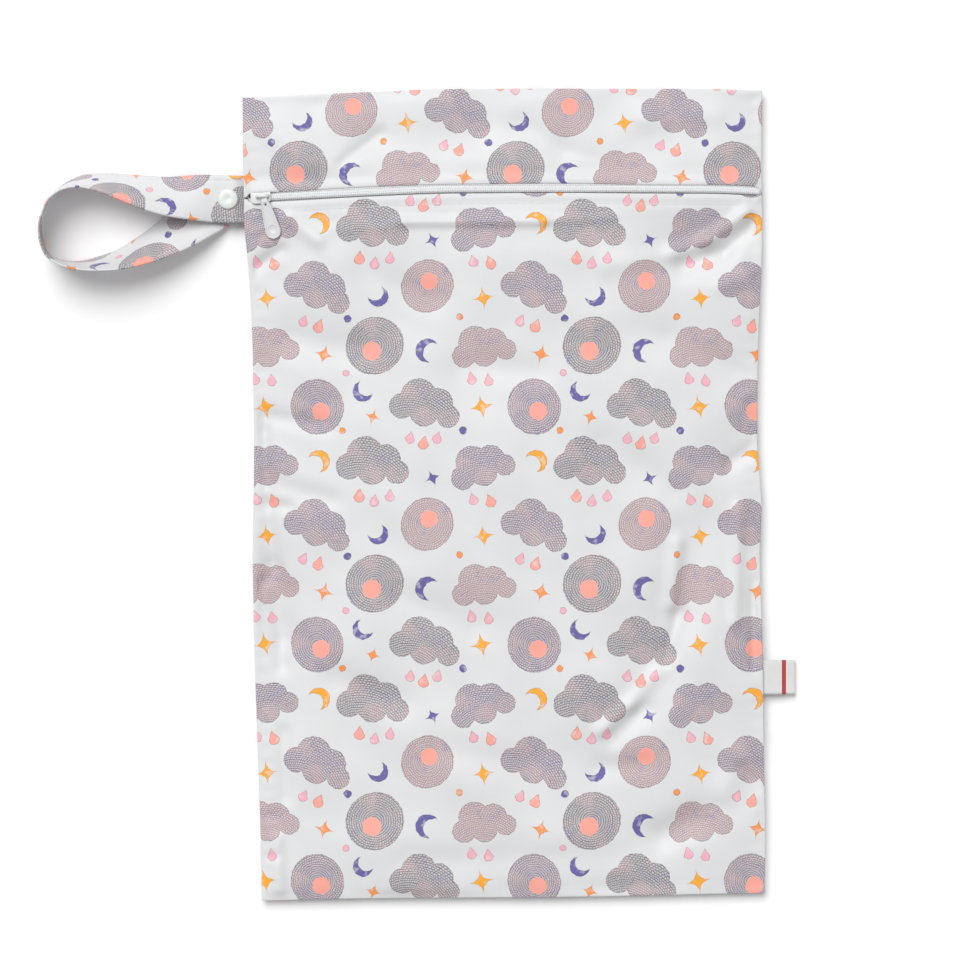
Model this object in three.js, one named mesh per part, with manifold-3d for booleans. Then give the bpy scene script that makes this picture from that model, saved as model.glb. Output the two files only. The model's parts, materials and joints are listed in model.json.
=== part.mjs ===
// A zippered cloth wet bag lying flat, with a strap loop snapped to itself at the left side seam.
// Millimetres, +X right, +Y to the top edge, +Z up. The origin is under the middle of the bag.
import * as THREE from 'three';
import { mergeVertices } from 'three/addons/utils/BufferGeometryUtils.js';
import Module from 'manifold-3d';

const wasm = await Module();
wasm.setup();

// Bag
const bagWidth = 300;
const bagHeight = 475;
const bagLoft = 15;
const clothWall = 1.2;
const seamHeight = 5.5;
const edgeRoll = 30;
const pillowPower = 2.6;
const openingReach = 22;
const seamBand = 24;
const seamFade = 8;
const fit = 0.3;

// Zip
const zipDrop = 59;
const chainWidth = 5.4;
const chainThickness = 1.9;
const tapeWidth = 13;
const tapeThickness = 0.6;
const tapeInset = 2.6;
const zipFade = 10;

// Slider
const sliderInset = 4.2;
const sliderLength = 12;
const sliderWidth = 9;
const sliderTaper = 0.86;
const plateThickness = 1.1;
const dividerWidth = 1.8;
const dividerLength = 2.6;
const dividerInset = 1;
const plateCorner = 1.6;
const railDrop = 0.5;
const railInset = 2;
const railReach = 3.8;
const bridgeLength = 8.4;
const bridgeWidth = 1.7;
const bridgeBar = 1.3;
const bridgeLeg = 1.2;
const bridgeCorner = 1.3;
const bridgeAhead = 1.2;

// Pull
const pullLength = 26;
const pullAhead = 2;
const pullNeckWidth = 6;
const pullEndWidth = 9;
const pullThickness = 1.6;
const pullRim = 1;
const recessDepth = 0.35;
const dimpleDiameter = 4.9;
const dimpleDepth = 0.4;
const dimpleInset = 5.8;
const eyeDiameter = 1.5;
const knuckleLength = 3.4;
const knuckleWall = 0.75;
const knuckleRoom = 0.2;
const neckLength = 0.9;
const pullSkew = 12;

// Strap and snap
const strapWidth = 28;
const strapThickness = 1.5;
const loopReach = 111;
const strapDrop = 59.8;
const snapOut = 9.4;
const strapTail = 6.4;
const tailTurn = 9;
const strapRoot = 3.4;
const capDiameter = 12;
const capThickness = 1.4;
const snapBody = 10;
const postDiameter = 3;
const socketHeight = 2.2;
const studFlange = 0.7;
const studDiameter = 5.4;

// Side tag
const tagLength = 19.4;
const tagHeight = 20.3;
const tagTape = 0.55;
const tagSlit = 0.35;
const tagRoot = 4;
const tagRise = 130;
const tagDroop = 2.6;

const halfWidth = bagWidth / 2;
const halfHeight = bagHeight / 2;

// Side edges from the bottom up, as shares of the half width
const sideEdges = [
  { up: 0.00, left: -0.964, right: 1.013 },
  { up: 0.08, left: -0.968, right: 1.014 },
  { up: 0.20, left: -0.980, right: 1.007 },
  { up: 0.31, left: -0.992, right: 1.003 },
  { up: 0.42, left: -0.999, right: 0.992 },
  { up: 0.49, left: -0.996, right: 1.001 },
  { up: 0.57, left: -0.992, right: 0.980 },
  { up: 0.68, left: -0.998, right: 0.986 },
  { up: 0.75, left: -1.005, right: 0.994 },
  { up: 0.80, left: -1.018, right: 1.003 },
  { up: 0.84, left: -1.031, right: 1.002 },
  { up: 0.91, left: -1.035, right: 0.999 },
  { up: 1.00, left: -1.039, right: 1.003 },
];

// Top and bottom edges from left to right, as shares of the half height
const endEdges = [
  { across: -1.00, top: 0.985, bottom: -1.007 },
  { across: -0.64, top: 0.996, bottom: -1.001 },
  { across: -0.25, top: 1.007, bottom: -0.999 },
  { across: 0.10, top: 1.008, bottom: -0.998 },
  { across: 0.45, top: 1.008, bottom: -0.995 },
  { across: 0.85, top: 1.007, bottom: -0.989 },
  { across: 1.00, top: 1.003, bottom: -0.988 },
];

// Dents and folds of the front cloth: their ends as shares of the half width and half height,
// their height as a share of the loft and their reach as a share of the width
const folds = [
  { name: 'band crease left', x0: -0.69, y0: 0.79, x1: -0.42, y1: 0.93, rise: -0.13, reach: 0.045 },
  { name: 'band ridge left', x0: -0.55, y0: 0.79, x1: -0.28, y1: 0.90, rise: 0.08, reach: 0.050 },
  { name: 'band slope', x0: -0.26, y0: 0.93, x1: 0.36, y1: 0.94, rise: -0.09, reach: 0.045 },
  { name: 'band crease right', x0: 0.36, y0: 0.95, x1: 0.52, y1: 0.83, rise: -0.09, reach: 0.040 },
  { name: 'ridge under zip', x0: -0.30, y0: 0.62, x1: 0.42, y1: 0.61, rise: 0.07, reach: 0.050 },
  { name: 'crease under zip', x0: -0.26, y0: 0.66, x1: 0.36, y1: 0.655, rise: -0.12, reach: 0.030 },
  { name: 'zip end fold', x0: 0.93, y0: 0.66, x1: 0.68, y1: 0.585, rise: -0.17, reach: 0.040 },
  { name: 'zip end fold low', x0: 0.68, y0: 0.585, x1: 0.33, y1: 0.545, rise: -0.12, reach: 0.045 },
  { name: 'zip end ridge', x0: 0.90, y0: 0.57, x1: 0.50, y1: 0.50, rise: 0.09, reach: 0.050 },
  { name: 'hollow by pull', x0: -0.83, y0: 0.60, x1: -0.96, y1: 0.56, rise: -0.19, reach: 0.045 },
  { name: 'left seam pull', x0: -0.96, y0: 0.16, x1: -0.87, y1: -0.38, rise: -0.16, reach: 0.035 },
  { name: 'left seam low', x0: -0.87, y0: -0.38, x1: -0.95, y1: -0.92, rise: -0.14, reach: 0.035 },
  { name: 'left cross fold', x0: -0.95, y0: 0.04, x1: -0.66, y1: -0.02, rise: 0.10, reach: 0.045 },
  { name: 'middle swell', x0: -0.30, y0: 0.10, x1: 0.20, y1: -0.20, rise: 0.10, reach: 0.200 },
  { name: 'long curve high', x0: 0.72, y0: -0.06, x1: 0.67, y1: -0.28, rise: -0.19, reach: 0.040 },
  { name: 'long curve middle', x0: 0.66, y0: -0.30, x1: 0.52, y1: -0.51, rise: -0.19, reach: 0.040 },
  { name: 'long curve low', x0: 0.51, y0: -0.52, x1: 0.30, y1: -0.63, rise: -0.12, reach: 0.045 },
  { name: 'long curve ridge', x0: 0.84, y0: -0.20, x1: 0.66, y1: -0.55, rise: 0.12, reach: 0.045 },
  { name: 'right pinch', x0: 0.96, y0: 0.14, x1: 0.80, y1: 0.08, rise: -0.15, reach: 0.035 },
  { name: 'right corner fold', x0: 0.56, y0: -0.85, x1: 0.88, y1: -0.75, rise: -0.15, reach: 0.035 },
  { name: 'right corner dimple', x0: 0.97, y0: -0.67, x1: 0.90, y1: -0.68, rise: -0.17, reach: 0.030 },
  { name: 'bottom swell', x0: -0.60, y0: -0.86, x1: 0.30, y1: -0.86, rise: 0.09, reach: 0.060 },
];

// Strap from the seam round the loop to its free end: how far out from the snap and how far aside,
// as shares of the loop's reach, the height of its low edge as a share of the strap's own height at
// the snap or of its width, and its lean in degrees, from face up at the snap to face down under it
const strapRun = [
  { out: 0.030, aside: 0.001, rise: 1.00, lean: 0 },
  { out: 0.075, aside: 0.002, rise: 1.00, lean: 2 },
  { out: 0.155, aside: 0.006, rise: 0.90, lean: 12 },
  { out: 0.330, aside: 0.014, rise: 0.50, lean: 33 },
  { out: 0.550, aside: 0.060, rise: 0.12, lean: 54 },
  { out: 0.650, aside: 0.083, rise: 0.03, lean: 61 },
  { out: 0.770, aside: 0.090, rise: 0.00, lean: 70 },
  { out: 0.870, aside: 0.055, rise: 0.00, lean: 78 },
  { out: 0.940, aside: -0.010, rise: 0.00, lean: 82 },
  { out: 0.983, aside: -0.125, rise: 0.00, lean: 83 },
  { out: 0.977, aside: -0.230, rise: 0.00, lean: 86 },
  { out: 0.930, aside: -0.310, rise: 0.00, lean: 92 },
  { out: 0.830, aside: -0.350, rise: 0.00, lean: 100 },
  { out: 0.620, aside: -0.335, rise: 0.00, lean: 116 },
  { out: 0.440, aside: -0.270, rise: 0.02, lean: 132 },
  { out: 0.265, aside: -0.170, rise: 0.08, lean: 152 },
  { out: 0.130, aside: -0.075, rise: 0.20, lean: 171 },
  { out: 0.062, aside: -0.030, rise: 0.243, lean: 180 },
];

const lerp = (a, b, t) => a + (b - a) * t;
const clamp = (value, low, high) => Math.min(high, Math.max(low, value));
const smooth = (value) => {
  const t = clamp(value, 0, 1);
  return t * t * (3 - 2 * t);
};
const radians = (degrees) => degrees * Math.PI / 180;

// A column of a table at a place between its rows
function fromTable(rows, place, at, column) {
  let row = 1;
  while (row < rows.length - 1 && rows[row][place] < at) row += 1;
  const before = rows[row - 1];
  const after = rows[row];
  const part = clamp((at - before[place]) / (after[place] - before[place]), 0, 1);
  return lerp(before[column], after[column], part);
}

const topY = (u) => halfHeight * fromTable(endEdges, 'across', u, 'top');
const bottomY = (u) => halfHeight * fromTable(endEdges, 'across', u, 'bottom');
const zipY = (u) => topY(u) - zipDrop;
const upShare = (u, y) => (y - bottomY(u)) / (topY(u) - bottomY(u));

// The X of a place that is u across the bag, from -1 at its left edge to 1 at its right, and y up it
function planX(u, y) {
  const up = upShare(u, y);
  const left = fromTable(sideEdges, 'up', up, 'left');
  const right = fromTable(sideEdges, 'up', up, 'right');
  return halfWidth * lerp(left, right, (u + 1) / 2);
}

// A rounded pillow between the seams, 0 at the edges and 1 at the middle
function pillow(u, y) {
  const along = 2 * upShare(u, y) - 1;
  const across = 1 - Math.abs(clamp(u, -1, 1)) ** pillowPower;
  const lengthwise = 1 - Math.abs(clamp(along, -1, 1)) ** pillowPower;
  return Math.sqrt(Math.max(0, across * lengthwise));
}

// The side seam opens round the strap at the left and round the tag at the right
const strapY = topY(-1) - strapDrop;
const tagY = tagRise - halfHeight;
function seamOpening(u, y) {
  const wide = u < 0 ? strapWidth : tagHeight;
  const thick = u < 0 ? strapThickness : 2 * tagTape + tagSlit;
  const away = Math.abs(y - (u < 0 ? strapY : tagY)) - wide / 2 - openingReach;
  return (thick + 3 * fit) * (1 - smooth(away / openingReach));
}

// Folds fade out over the zip's tapes and towards the seams
function foldFade(u, y) {
  const fromZip = Math.abs(y - zipY(u)) - tapeWidth;
  const fromSide = (1 - Math.abs(u)) * halfWidth;
  const fromEnd = Math.min(topY(u) - y, y - bottomY(u));
  return smooth(fromZip / zipFade) * smooth(fromSide / seamFade) * smooth(fromEnd / seamFade);
}

function foldHeight(u, y) {
  const x = planX(u, y);
  let height = 0;
  for (const fold of folds) {
    const x0 = fold.x0 * halfWidth;
    const y0 = fold.y0 * halfHeight;
    const alongX = fold.x1 * halfWidth - x0;
    const alongY = fold.y1 * halfHeight - y0;
    const span = alongX * alongX + alongY * alongY;
    const t = clamp(((x - x0) * alongX + (y - y0) * alongY) / span, 0, 1);
    const away = Math.hypot(x - x0 - t * alongX, y - y0 - t * alongY);
    height += fold.rise * bagLoft * Math.exp(-((away / (fold.reach * bagWidth)) ** 2));
  }
  return height * foldFade(u, y);
}

// Outer surface of the front cloth
function frontTop(u, y) {
  const edge = seamHeight + (fit + seamOpening(u, y)) / 2 + clothWall;
  return lerp(edge, bagLoft, pillow(u, y)) + foldHeight(u, y);
}

// Outer surface of the back cloth, flat where it lies on what carries it
function backBottom(u, y) {
  const edge = seamHeight - (fit + seamOpening(u, y)) / 2 - clothWall;
  const fromSide = (1 - Math.abs(u)) * halfWidth / edgeRoll;
  const fromEnd = Math.min(topY(u) - y, y - bottomY(u)) / edgeRoll;
  const round = (share) => Math.sqrt(1 - (1 - clamp(share, 0, 1)) ** 2);
  return edge * (1 - round(fromSide) * round(fromEnd));
}

// Shares from -1 to 1, closer together at both ends
function spread(count) {
  const shares = [];
  for (let step = 0; step <= count; step += 1) {
    const even = 2 * step / count - 1;
    shares.push(0.55 * even + 0.45 * Math.sin(even * Math.PI / 2));
  }
  return shares;
}

// Columns of the front cloth and the zip share their places, with two at the slider's ends
const sliderStart = -1 + sliderInset / halfWidth;
const sliderEnd = -1 + (sliderInset + sliderLength) / halfWidth;
const zipStart = -1 + tapeInset / halfWidth;
const columnsFrom = sliderEnd + tapeInset / halfWidth;
const columnsTo = -zipStart - tapeInset / halfWidth;
const frontColumns = [-1, zipStart, sliderStart, sliderEnd]
  .concat(spread(24).filter((u) => u > columnsFrom && u < columnsTo))
  .concat([-zipStart, 1]);

// A closed mesh, turned so that its faces point out
function closedGeometry(points, faces) {
  let volume = 0;
  for (const [a, b, c] of faces) {
    volume += points[a].dot(new THREE.Vector3().crossVectors(points[b], points[c]));
  }
  const order = volume < 0 ? faces.map(([a, b, c]) => [a, c, b]) : faces;
  const geometry = new THREE.BufferGeometry();
  geometry.setFromPoints(points);
  geometry.setIndex(order.flat());
  geometry.computeVertexNormals();
  return geometry;
}

// A wall between two grids of points that have the same rows and columns
function wallGeometry(outer, inner) {
  const rows = outer.length;
  const columns = outer[0].length;
  const points = outer.flat().concat(inner.flat());
  const faces = [];
  const quad = (a, b, c, d) => faces.push([a, b, c], [a, c, d]);
  const front = (row, column) => row * columns + column;
  const back = (row, column) => rows * columns + row * columns + column;
  for (let row = 0; row < rows - 1; row += 1) {
    for (let column = 0; column < columns - 1; column += 1) {
      quad(front(row, column), front(row, column + 1), front(row + 1, column + 1), front(row + 1, column));
      quad(back(row, column), back(row + 1, column), back(row + 1, column + 1), back(row, column + 1));
    }
  }
  for (let column = 0; column < columns - 1; column += 1) {
    quad(front(0, column + 1), front(0, column), back(0, column), back(0, column + 1));
    const last = rows - 1;
    quad(front(last, column), front(last, column + 1), back(last, column + 1), back(last, column));
  }
  for (let row = 0; row < rows - 1; row += 1) {
    quad(front(row, 0), front(row + 1, 0), back(row + 1, 0), back(row, 0));
    const last = columns - 1;
    quad(front(row + 1, last), front(row, last), back(row, last), back(row + 1, last));
  }
  return closedGeometry(points, faces);
}

// A solid through rings of points that all have the same count, closed by a face at each end
function ringGeometry(rings) {
  const count = rings[0].length;
  const faces = [];
  for (let ring = 0; ring < rings.length - 1; ring += 1) {
    for (let point = 0; point < count; point += 1) {
      const a = ring * count + point;
      const b = ring * count + (point + 1) % count;
      faces.push([a, b, b + count], [a, b + count, a + count]);
    }
  }
  const last = (rings.length - 1) * count;
  for (let point = 1; point < count - 1; point += 1) {
    faces.push([0, point + 1, point], [last, last + point, last + point + 1]);
  }
  return closedGeometry(rings.flat(), faces);
}

// Boolean cuts and joins of closed meshes
function toSolid(geometry) {
  const bare = geometry.clone();
  bare.deleteAttribute('normal');
  bare.deleteAttribute('uv');
  const merged = mergeVertices(bare, 1e-4);
  const index = Array.from(merged.index.array);
  const kept = [];
  for (let at = 0; at < index.length; at += 3) {
    const [a, b, c] = index.slice(at, at + 3);
    if (a !== b && b !== c && c !== a) kept.push(a, b, c);
  }
  const vertProperties = new Float32Array(merged.attributes.position.array);
  const triVerts = new Uint32Array(kept);
  return new wasm.Manifold(new wasm.Mesh({ numProp: 3, vertProperties, triVerts }));
}

function toGeometry(solid) {
  const mesh = solid.getMesh();
  const geometry = new THREE.BufferGeometry();
  geometry.setAttribute('position', new THREE.BufferAttribute(new Float32Array(mesh.vertProperties), 3));
  geometry.setIndex(new THREE.BufferAttribute(new Uint32Array(mesh.triVerts), 1));
  geometry.computeVertexNormals();
  return geometry;
}

const joined = (first, ...others) => toGeometry(
  others.reduce((solid, other) => solid.add(toSolid(other)), toSolid(first)),
);
const cut = (first, ...others) => toGeometry(
  others.reduce((solid, other) => solid.subtract(toSolid(other)), toSolid(first)),
);
const common = (first, other) => toGeometry(toSolid(first).intersect(toSolid(other)));

function block(x0, x1, y0, y1, z0, z1) {
  const geometry = new THREE.BoxGeometry(x1 - x0, y1 - y0, z1 - z0);
  return geometry.translate((x0 + x1) / 2, (y0 + y1) / 2, (z0 + z1) / 2);
}

// An upright plate with a flat outline
function plate(shape, z0, z1) {
  const settings = { depth: z1 - z0, bevelEnabled: false, curveSegments: 6 };
  return new THREE.ExtrudeGeometry(shape, settings).translate(0, 0, z0);
}

// A round piece about the Z axis, from its half profile
function turned(profile, segments = 20) {
  const points = profile.map(([radius, height]) => new THREE.Vector2(radius, height));
  return new THREE.LatheGeometry(points, segments).rotateX(Math.PI / 2);
}

const fabric = new THREE.MeshStandardMaterial({ color: 0xe9eaea, roughness: 0.55, metalness: 0 });
const tapeCloth = new THREE.MeshStandardMaterial({ color: 0xf1f1f1, roughness: 0.8, metalness: 0 });
const coil = new THREE.MeshStandardMaterial({ color: 0xf4f4f4, roughness: 0.45, metalness: 0 });
const enamel = new THREE.MeshStandardMaterial({ color: 0xe2e3e3, roughness: 0.35, metalness: 0.1 });
const resin = new THREE.MeshStandardMaterial({ color: 0xeff1f0, roughness: 0.3, metalness: 0 });

function named(name, geometry, material) {
  const mesh = new THREE.Mesh(geometry, material);
  mesh.name = name;
  return mesh;
}

// Cloth
function clothWallPiece(name, columns, rowPlaces, surface, inwards) {
  const outer = rowPlaces.map((place) => columns.map((u) => {
    const y = place(u);
    return new THREE.Vector3(planX(u, y), y, surface(u, y));
  }));
  const shift = new THREE.Vector3(0, 0, inwards);
  const inner = outer.map((row) => row.map((point) => point.clone().add(shift)));
  return named(name, wallGeometry(outer, inner), fabric);
}

const slotHalf = chainWidth / 2 + fit;
const tapeEdge = chainWidth / 2 + tapeWidth;

function frontPanel() {
  const fold = (u) => zipY(u) - slotHalf;
  const underTape = (u) => zipY(u) - tapeEdge;
  const shares = spread(34).slice(0, -2).map((place) => (place + 1) / 2);
  const rows = shares.map((share) => (u) => lerp(bottomY(u), underTape(u), share));
  return clothWallPiece('front_panel', frontColumns, rows.concat([underTape, fold]), frontTop, -clothWall);
}

function topBand() {
  const fold = (u) => zipY(u) + slotHalf;
  const overTape = (u) => zipY(u) + tapeEdge;
  const shares = [0.25, 0.5, 0.72, 0.9, 1];
  const rows = shares.map((share) => (u) => lerp(overTape(u), topY(u), share));
  return clothWallPiece('top_band', frontColumns, [fold, overTape].concat(rows), frontTop, -clothWall);
}

// The back cloth is a flat middle, with a band along each seam where it rises to the front
function backCloth() {
  const rows = spread(22).map((share) => (u) => lerp(bottomY(u), topY(u), (share + 1) / 2));
  const whole = clothWallPiece('whole', spread(16), rows, backBottom, clothWall).geometry;
  const x = halfWidth - seamBand;
  const y = halfHeight - seamBand;
  const far = bagHeight;
  const part = (name, x0, x1, y0, y1) => {
    const region = block(x0, x1, y0, y1, -bagLoft, bagLoft);
    return named(name, common(whole, region), fabric);
  };
  const back = new THREE.Group();
  back.add(
    part('back_panel', -x, x, -y, y),
    part('back_seam_left', -far, -x - fit, -far, far),
    part('back_seam_right', x + fit, far, -far, far),
    part('back_seam_bottom', -x, x, -far, -y - fit),
    part('back_seam_top', -x, x, y + fit, far),
  );
  return back;
}

// Zip
const zipColumns = frontColumns.slice(1, -1);
const zipTop = (u) => frontTop(u, zipY(u));
const tapeTop = (u, y) => frontTop(u, y) - clothWall - fit;

function tape(name, side) {
  const rings = zipColumns.map((u) => {
    const byDivider = u <= sliderStart ? dividerWidth / 2 + fit : fit / 2;
    const near = zipY(u) + side * byDivider;
    const far = zipY(u) + side * tapeEdge;
    const ring = [[near, 0], [far, 0], [far, -tapeThickness], [near, -tapeThickness]];
    return ring.map(([y, down]) => new THREE.Vector3(planX(u, y), y, tapeTop(u, y) + down));
  });
  return named(name, ringGeometry(rings), tapeCloth);
}

// Section of the chain, as shares of its half width and its thickness
const chainSection = [
  { aside: -1.00, rise: 0.25 },
  { aside: -0.80, rise: 0.00 },
  { aside: 0.80, rise: 0.00 },
  { aside: 1.00, rise: 0.25 },
  { aside: 1.00, rise: 0.70 },
  { aside: 0.55, rise: 1.00 },
  { aside: -0.55, rise: 1.00 },
  { aside: -1.00, rise: 0.70 },
];

// The chain starts behind the slider's divider and follows the zip
function zipChain() {
  const behindDivider = sliderStart + (dividerInset + dividerLength + 2 * fit) / halfWidth;
  const columns = [behindDivider].concat(zipColumns.slice(2));
  const rings = columns.map((u) => {
    const start = zipColumns[1];
    const end = zipColumns[2];
    const part = (u - start) / (end - start);
    const level = u < end ? lerp(zipTop(start), zipTop(end), part) : zipTop(u);
    const bottom = level - clothWall;
    return chainSection.map(({ aside, rise }) => {
      const y = zipY(u) + aside * chainWidth / 2;
      return new THREE.Vector3(planX(u, y), y, bottom + rise * chainThickness);
    });
  });
  return named('zip_chain', ringGeometry(rings), coil);
}

// The slider's own frame: its origin on the cloth's level, X along the zip, Z off the cloth
const onZip = (u) => new THREE.Vector3(planX(u, zipY(u)), zipY(u), zipTop(u));
const sliderFrom = onZip(sliderStart);
const sliderTo = onZip(sliderEnd);
const plateBottom = chainThickness - clothWall + fit;
const plateTop = plateBottom + plateThickness;
const underTape = -clothWall - fit - tapeThickness - fit;

function sliderOutline() {
  const half = sliderWidth / 2;
  const back = half * sliderTaper;
  const corner = plateCorner;
  const start = -sliderLength / 2;
  const end = sliderLength / 2;
  const shape = new THREE.Shape();
  shape.moveTo(start + corner, -half);
  shape.lineTo(end - corner, -back);
  shape.quadraticCurveTo(end, -back, end, -back + corner);
  shape.lineTo(end, back - corner);
  shape.quadraticCurveTo(end, back, end - corner, back);
  shape.lineTo(start + corner, half);
  shape.quadraticCurveTo(start, half, start, half - corner);
  shape.lineTo(start, -half + corner);
  shape.quadraticCurveTo(start, -half, start + corner, -half);
  return shape;
}

const diagonalReach = Math.hypot(bridgeWidth, bridgeBar) / 2;
const boreRadius = diagonalReach + Math.tan(radians(pullSkew)) * knuckleLength / 2 + knuckleRoom;
const knuckleRadius = boreRadius + knuckleWall;
const barHeight = plateTop + fit + knuckleRadius;

function sliderBody() {
  const top = plate(sliderOutline(), plateBottom, plateTop);
  const bottom = plate(sliderOutline(), underTape - plateThickness, underTape);
  const dividerX = -sliderLength / 2 + dividerInset;
  const sink = plateThickness / 5;
  const divider = block(
    dividerX, dividerX + dividerLength,
    -dividerWidth / 2, dividerWidth / 2,
    underTape - sink, plateBottom + sink,
  );
  const rails = [-1, 1].map((side) => {
    const inner = side * (chainWidth / 2 + fit);
    const outer = side * railReach;
    const [low, high] = [Math.min(inner, outer), Math.max(inner, outer)];
    const reach = sliderLength / 2 - railInset;
    return block(-reach, reach, low, high, plateBottom - railDrop, plateBottom + sink);
  });
  const bridgeTop = barHeight + bridgeBar / 2;
  const start = bridgeAhead - bridgeLength / 2;
  const end = bridgeAhead + bridgeLength / 2;
  const arch = new THREE.Shape();
  arch.moveTo(start, plateTop - sink);
  arch.lineTo(end, plateTop - sink);
  arch.lineTo(end, bridgeTop - bridgeCorner);
  arch.quadraticCurveTo(end, bridgeTop, end - bridgeCorner, bridgeTop);
  arch.lineTo(start + bridgeCorner, bridgeTop);
  arch.quadraticCurveTo(start, bridgeTop, start, bridgeTop - bridgeCorner);
  arch.closePath();
  const bridge = plate(arch, -bridgeWidth / 2, bridgeWidth / 2).rotateX(Math.PI / 2);
  const opening = block(
    start + bridgeLeg, end - bridgeLeg, -bridgeWidth, bridgeWidth, plateTop, barHeight - bridgeBar / 2,
  );
  const whole = joined(top, bottom, divider, ...rails, bridge);
  return named('zip_slider', cut(whole, opening), enamel);
}

// The pull lies from its knuckle towards -Y of its own frame
function pullOutline(inset) {
  const neck = pullNeckWidth / 2 - inset;
  const end = pullEndWidth / 2 - inset;
  const start = -(knuckleRadius + neckLength + inset);
  const tip = -(pullLength - pullEndWidth / 2);
  const shape = new THREE.Shape();
  shape.moveTo(neck, start);
  shape.lineTo(-neck, start);
  shape.lineTo(-end, tip);
  shape.absarc(0, tip, end, Math.PI, 2 * Math.PI, false);
  shape.lineTo(neck, start);
  return shape;
}

function pullTab() {
  const half = pullThickness / 2;
  const blade = plate(pullOutline(0), -half, half);
  const neck = block(
    -knuckleLength / 2, knuckleLength / 2,
    -(knuckleRadius + neckLength + pullRim / 2), -(boreRadius + knuckleWall / 2),
    -half, half,
  );
  const barrel = new THREE.CylinderGeometry(knuckleRadius, knuckleRadius, knuckleLength, 16);
  const bore = new THREE.CylinderGeometry(boreRadius, boreRadius, knuckleLength * 2, 16);
  barrel.rotateZ(Math.PI / 2);
  bore.rotateZ(Math.PI / 2);
  const recess = (z0, z1) => plate(pullOutline(pullRim), z0, z1);
  const floor = half - recessDepth;
  const dimple = new THREE.CylinderGeometry(dimpleDiameter / 2, dimpleDiameter / 2, pullThickness, 16)
    .rotateX(Math.PI / 2).translate(0, dimpleInset - pullLength, floor - dimpleDepth + half);
  const eye = new THREE.CylinderGeometry(eyeDiameter / 2, eyeDiameter / 2, pullThickness * 2, 10)
    .rotateX(Math.PI / 2).translate(0, -(knuckleRadius + eyeDiameter * 2), 0);
  const whole = joined(blade, neck, barrel);
  const recessed = cut(
    whole, bore, recess(floor, half + pullThickness), recess(-half - pullThickness, -floor), dimple, eye,
  );
  return named('pull_tab', recessed, enamel);
}

// How far the pull tips down until its end lies on the cloth
const pullDrop = Math.asin((barHeight - pullThickness / 2 - 2 * fit) / pullLength);

function zipSlider() {
  const group = new THREE.Group();
  const along = new THREE.Vector3().subVectors(sliderTo, sliderFrom).normalize();
  const aside = new THREE.Vector3().crossVectors(new THREE.Vector3(0, 0, 1), along).normalize();
  const off = new THREE.Vector3().crossVectors(along, aside);
  group.quaternion.setFromRotationMatrix(new THREE.Matrix4().makeBasis(along, aside, off));
  group.position.copy(sliderFrom).lerp(sliderTo, 0.5);
  const pull = new THREE.Group();
  pull.position.set(pullAhead, 0, barHeight);
  pull.rotation.set(pullDrop, 0, radians(pullSkew), 'ZYX');
  pull.add(pullTab());
  group.add(sliderBody(), pull);
  return group;
}

// Snap: cap, upper strap, socket, stud, lower strap and cap, one on the other
const lowerStrapBottom = capThickness + fit;
const lowerStrapTop = lowerStrapBottom + strapThickness;
const studBottom = lowerStrapTop + fit;
const socketBottom = studBottom + studFlange + fit;
const socketTop = socketBottom + socketHeight;
const upperStrapBottom = socketTop + fit;
const upperStrapTop = upperStrapBottom + strapThickness;
const snapU = -1;
const snapX = planX(snapU, strapY) - snapOut;
const postRadius = postDiameter / 2;
const holeRadius = postRadius + fit;
const capRadius = capDiameter / 2;
const studRadius = studDiameter / 2;

// Crown of a cap, as shares of its radius and its thickness
const capCrown = [
  { out: 0.00, rise: 0.00 },
  { out: 0.62, rise: 0.00 },
  { out: 0.90, rise: 0.30 },
  { out: 1.00, rise: 0.80 },
  { out: 1.00, rise: 1.00 },
];

// A cap with its post, its crown outwards at the height of 0 and its post towards +Z
function snapCap(postHeight) {
  const crown = capCrown.map(({ out, rise }) => [out * capRadius, rise * capThickness]);
  return turned(crown.concat([[postRadius, capThickness], [postRadius, postHeight], [0, postHeight]]));
}

function snapPieces() {
  const throughStrap = capThickness + fit + strapThickness + fit;
  const lower = snapCap(throughStrap + studFlange);
  const crownTop = upperStrapTop + fit + capThickness;
  const upper = snapCap(throughStrap + socketHeight / 2).rotateX(Math.PI).translate(0, 0, crownTop);
  const bodyRadius = snapBody / 2;
  const studTop = socketBottom + socketHeight / 2 - 2 * fit;
  const stud = turned([
    [holeRadius, studBottom], [bodyRadius, studBottom], [bodyRadius, studBottom + studFlange],
    [studRadius, studBottom + studFlange], [studRadius, studTop],
    [holeRadius, studTop], [holeRadius, studBottom],
  ]);
  const cavity = studRadius + fit;
  const ceiling = socketBottom + socketHeight / 2;
  const socket = turned([
    [cavity, socketBottom], [bodyRadius, socketBottom], [bodyRadius, socketTop], [holeRadius, socketTop],
    [holeRadius, ceiling], [cavity, ceiling], [cavity, socketBottom],
  ]);
  const group = new THREE.Group();
  group.position.set(snapX, strapY, 0);
  group.add(
    named('snap_cap_under', lower, resin),
    named('snap_stud', stud, resin),
    named('snap_socket', socket, resin),
    named('snap_cap_top', upper, resin),
  );
  return group;
}

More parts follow.
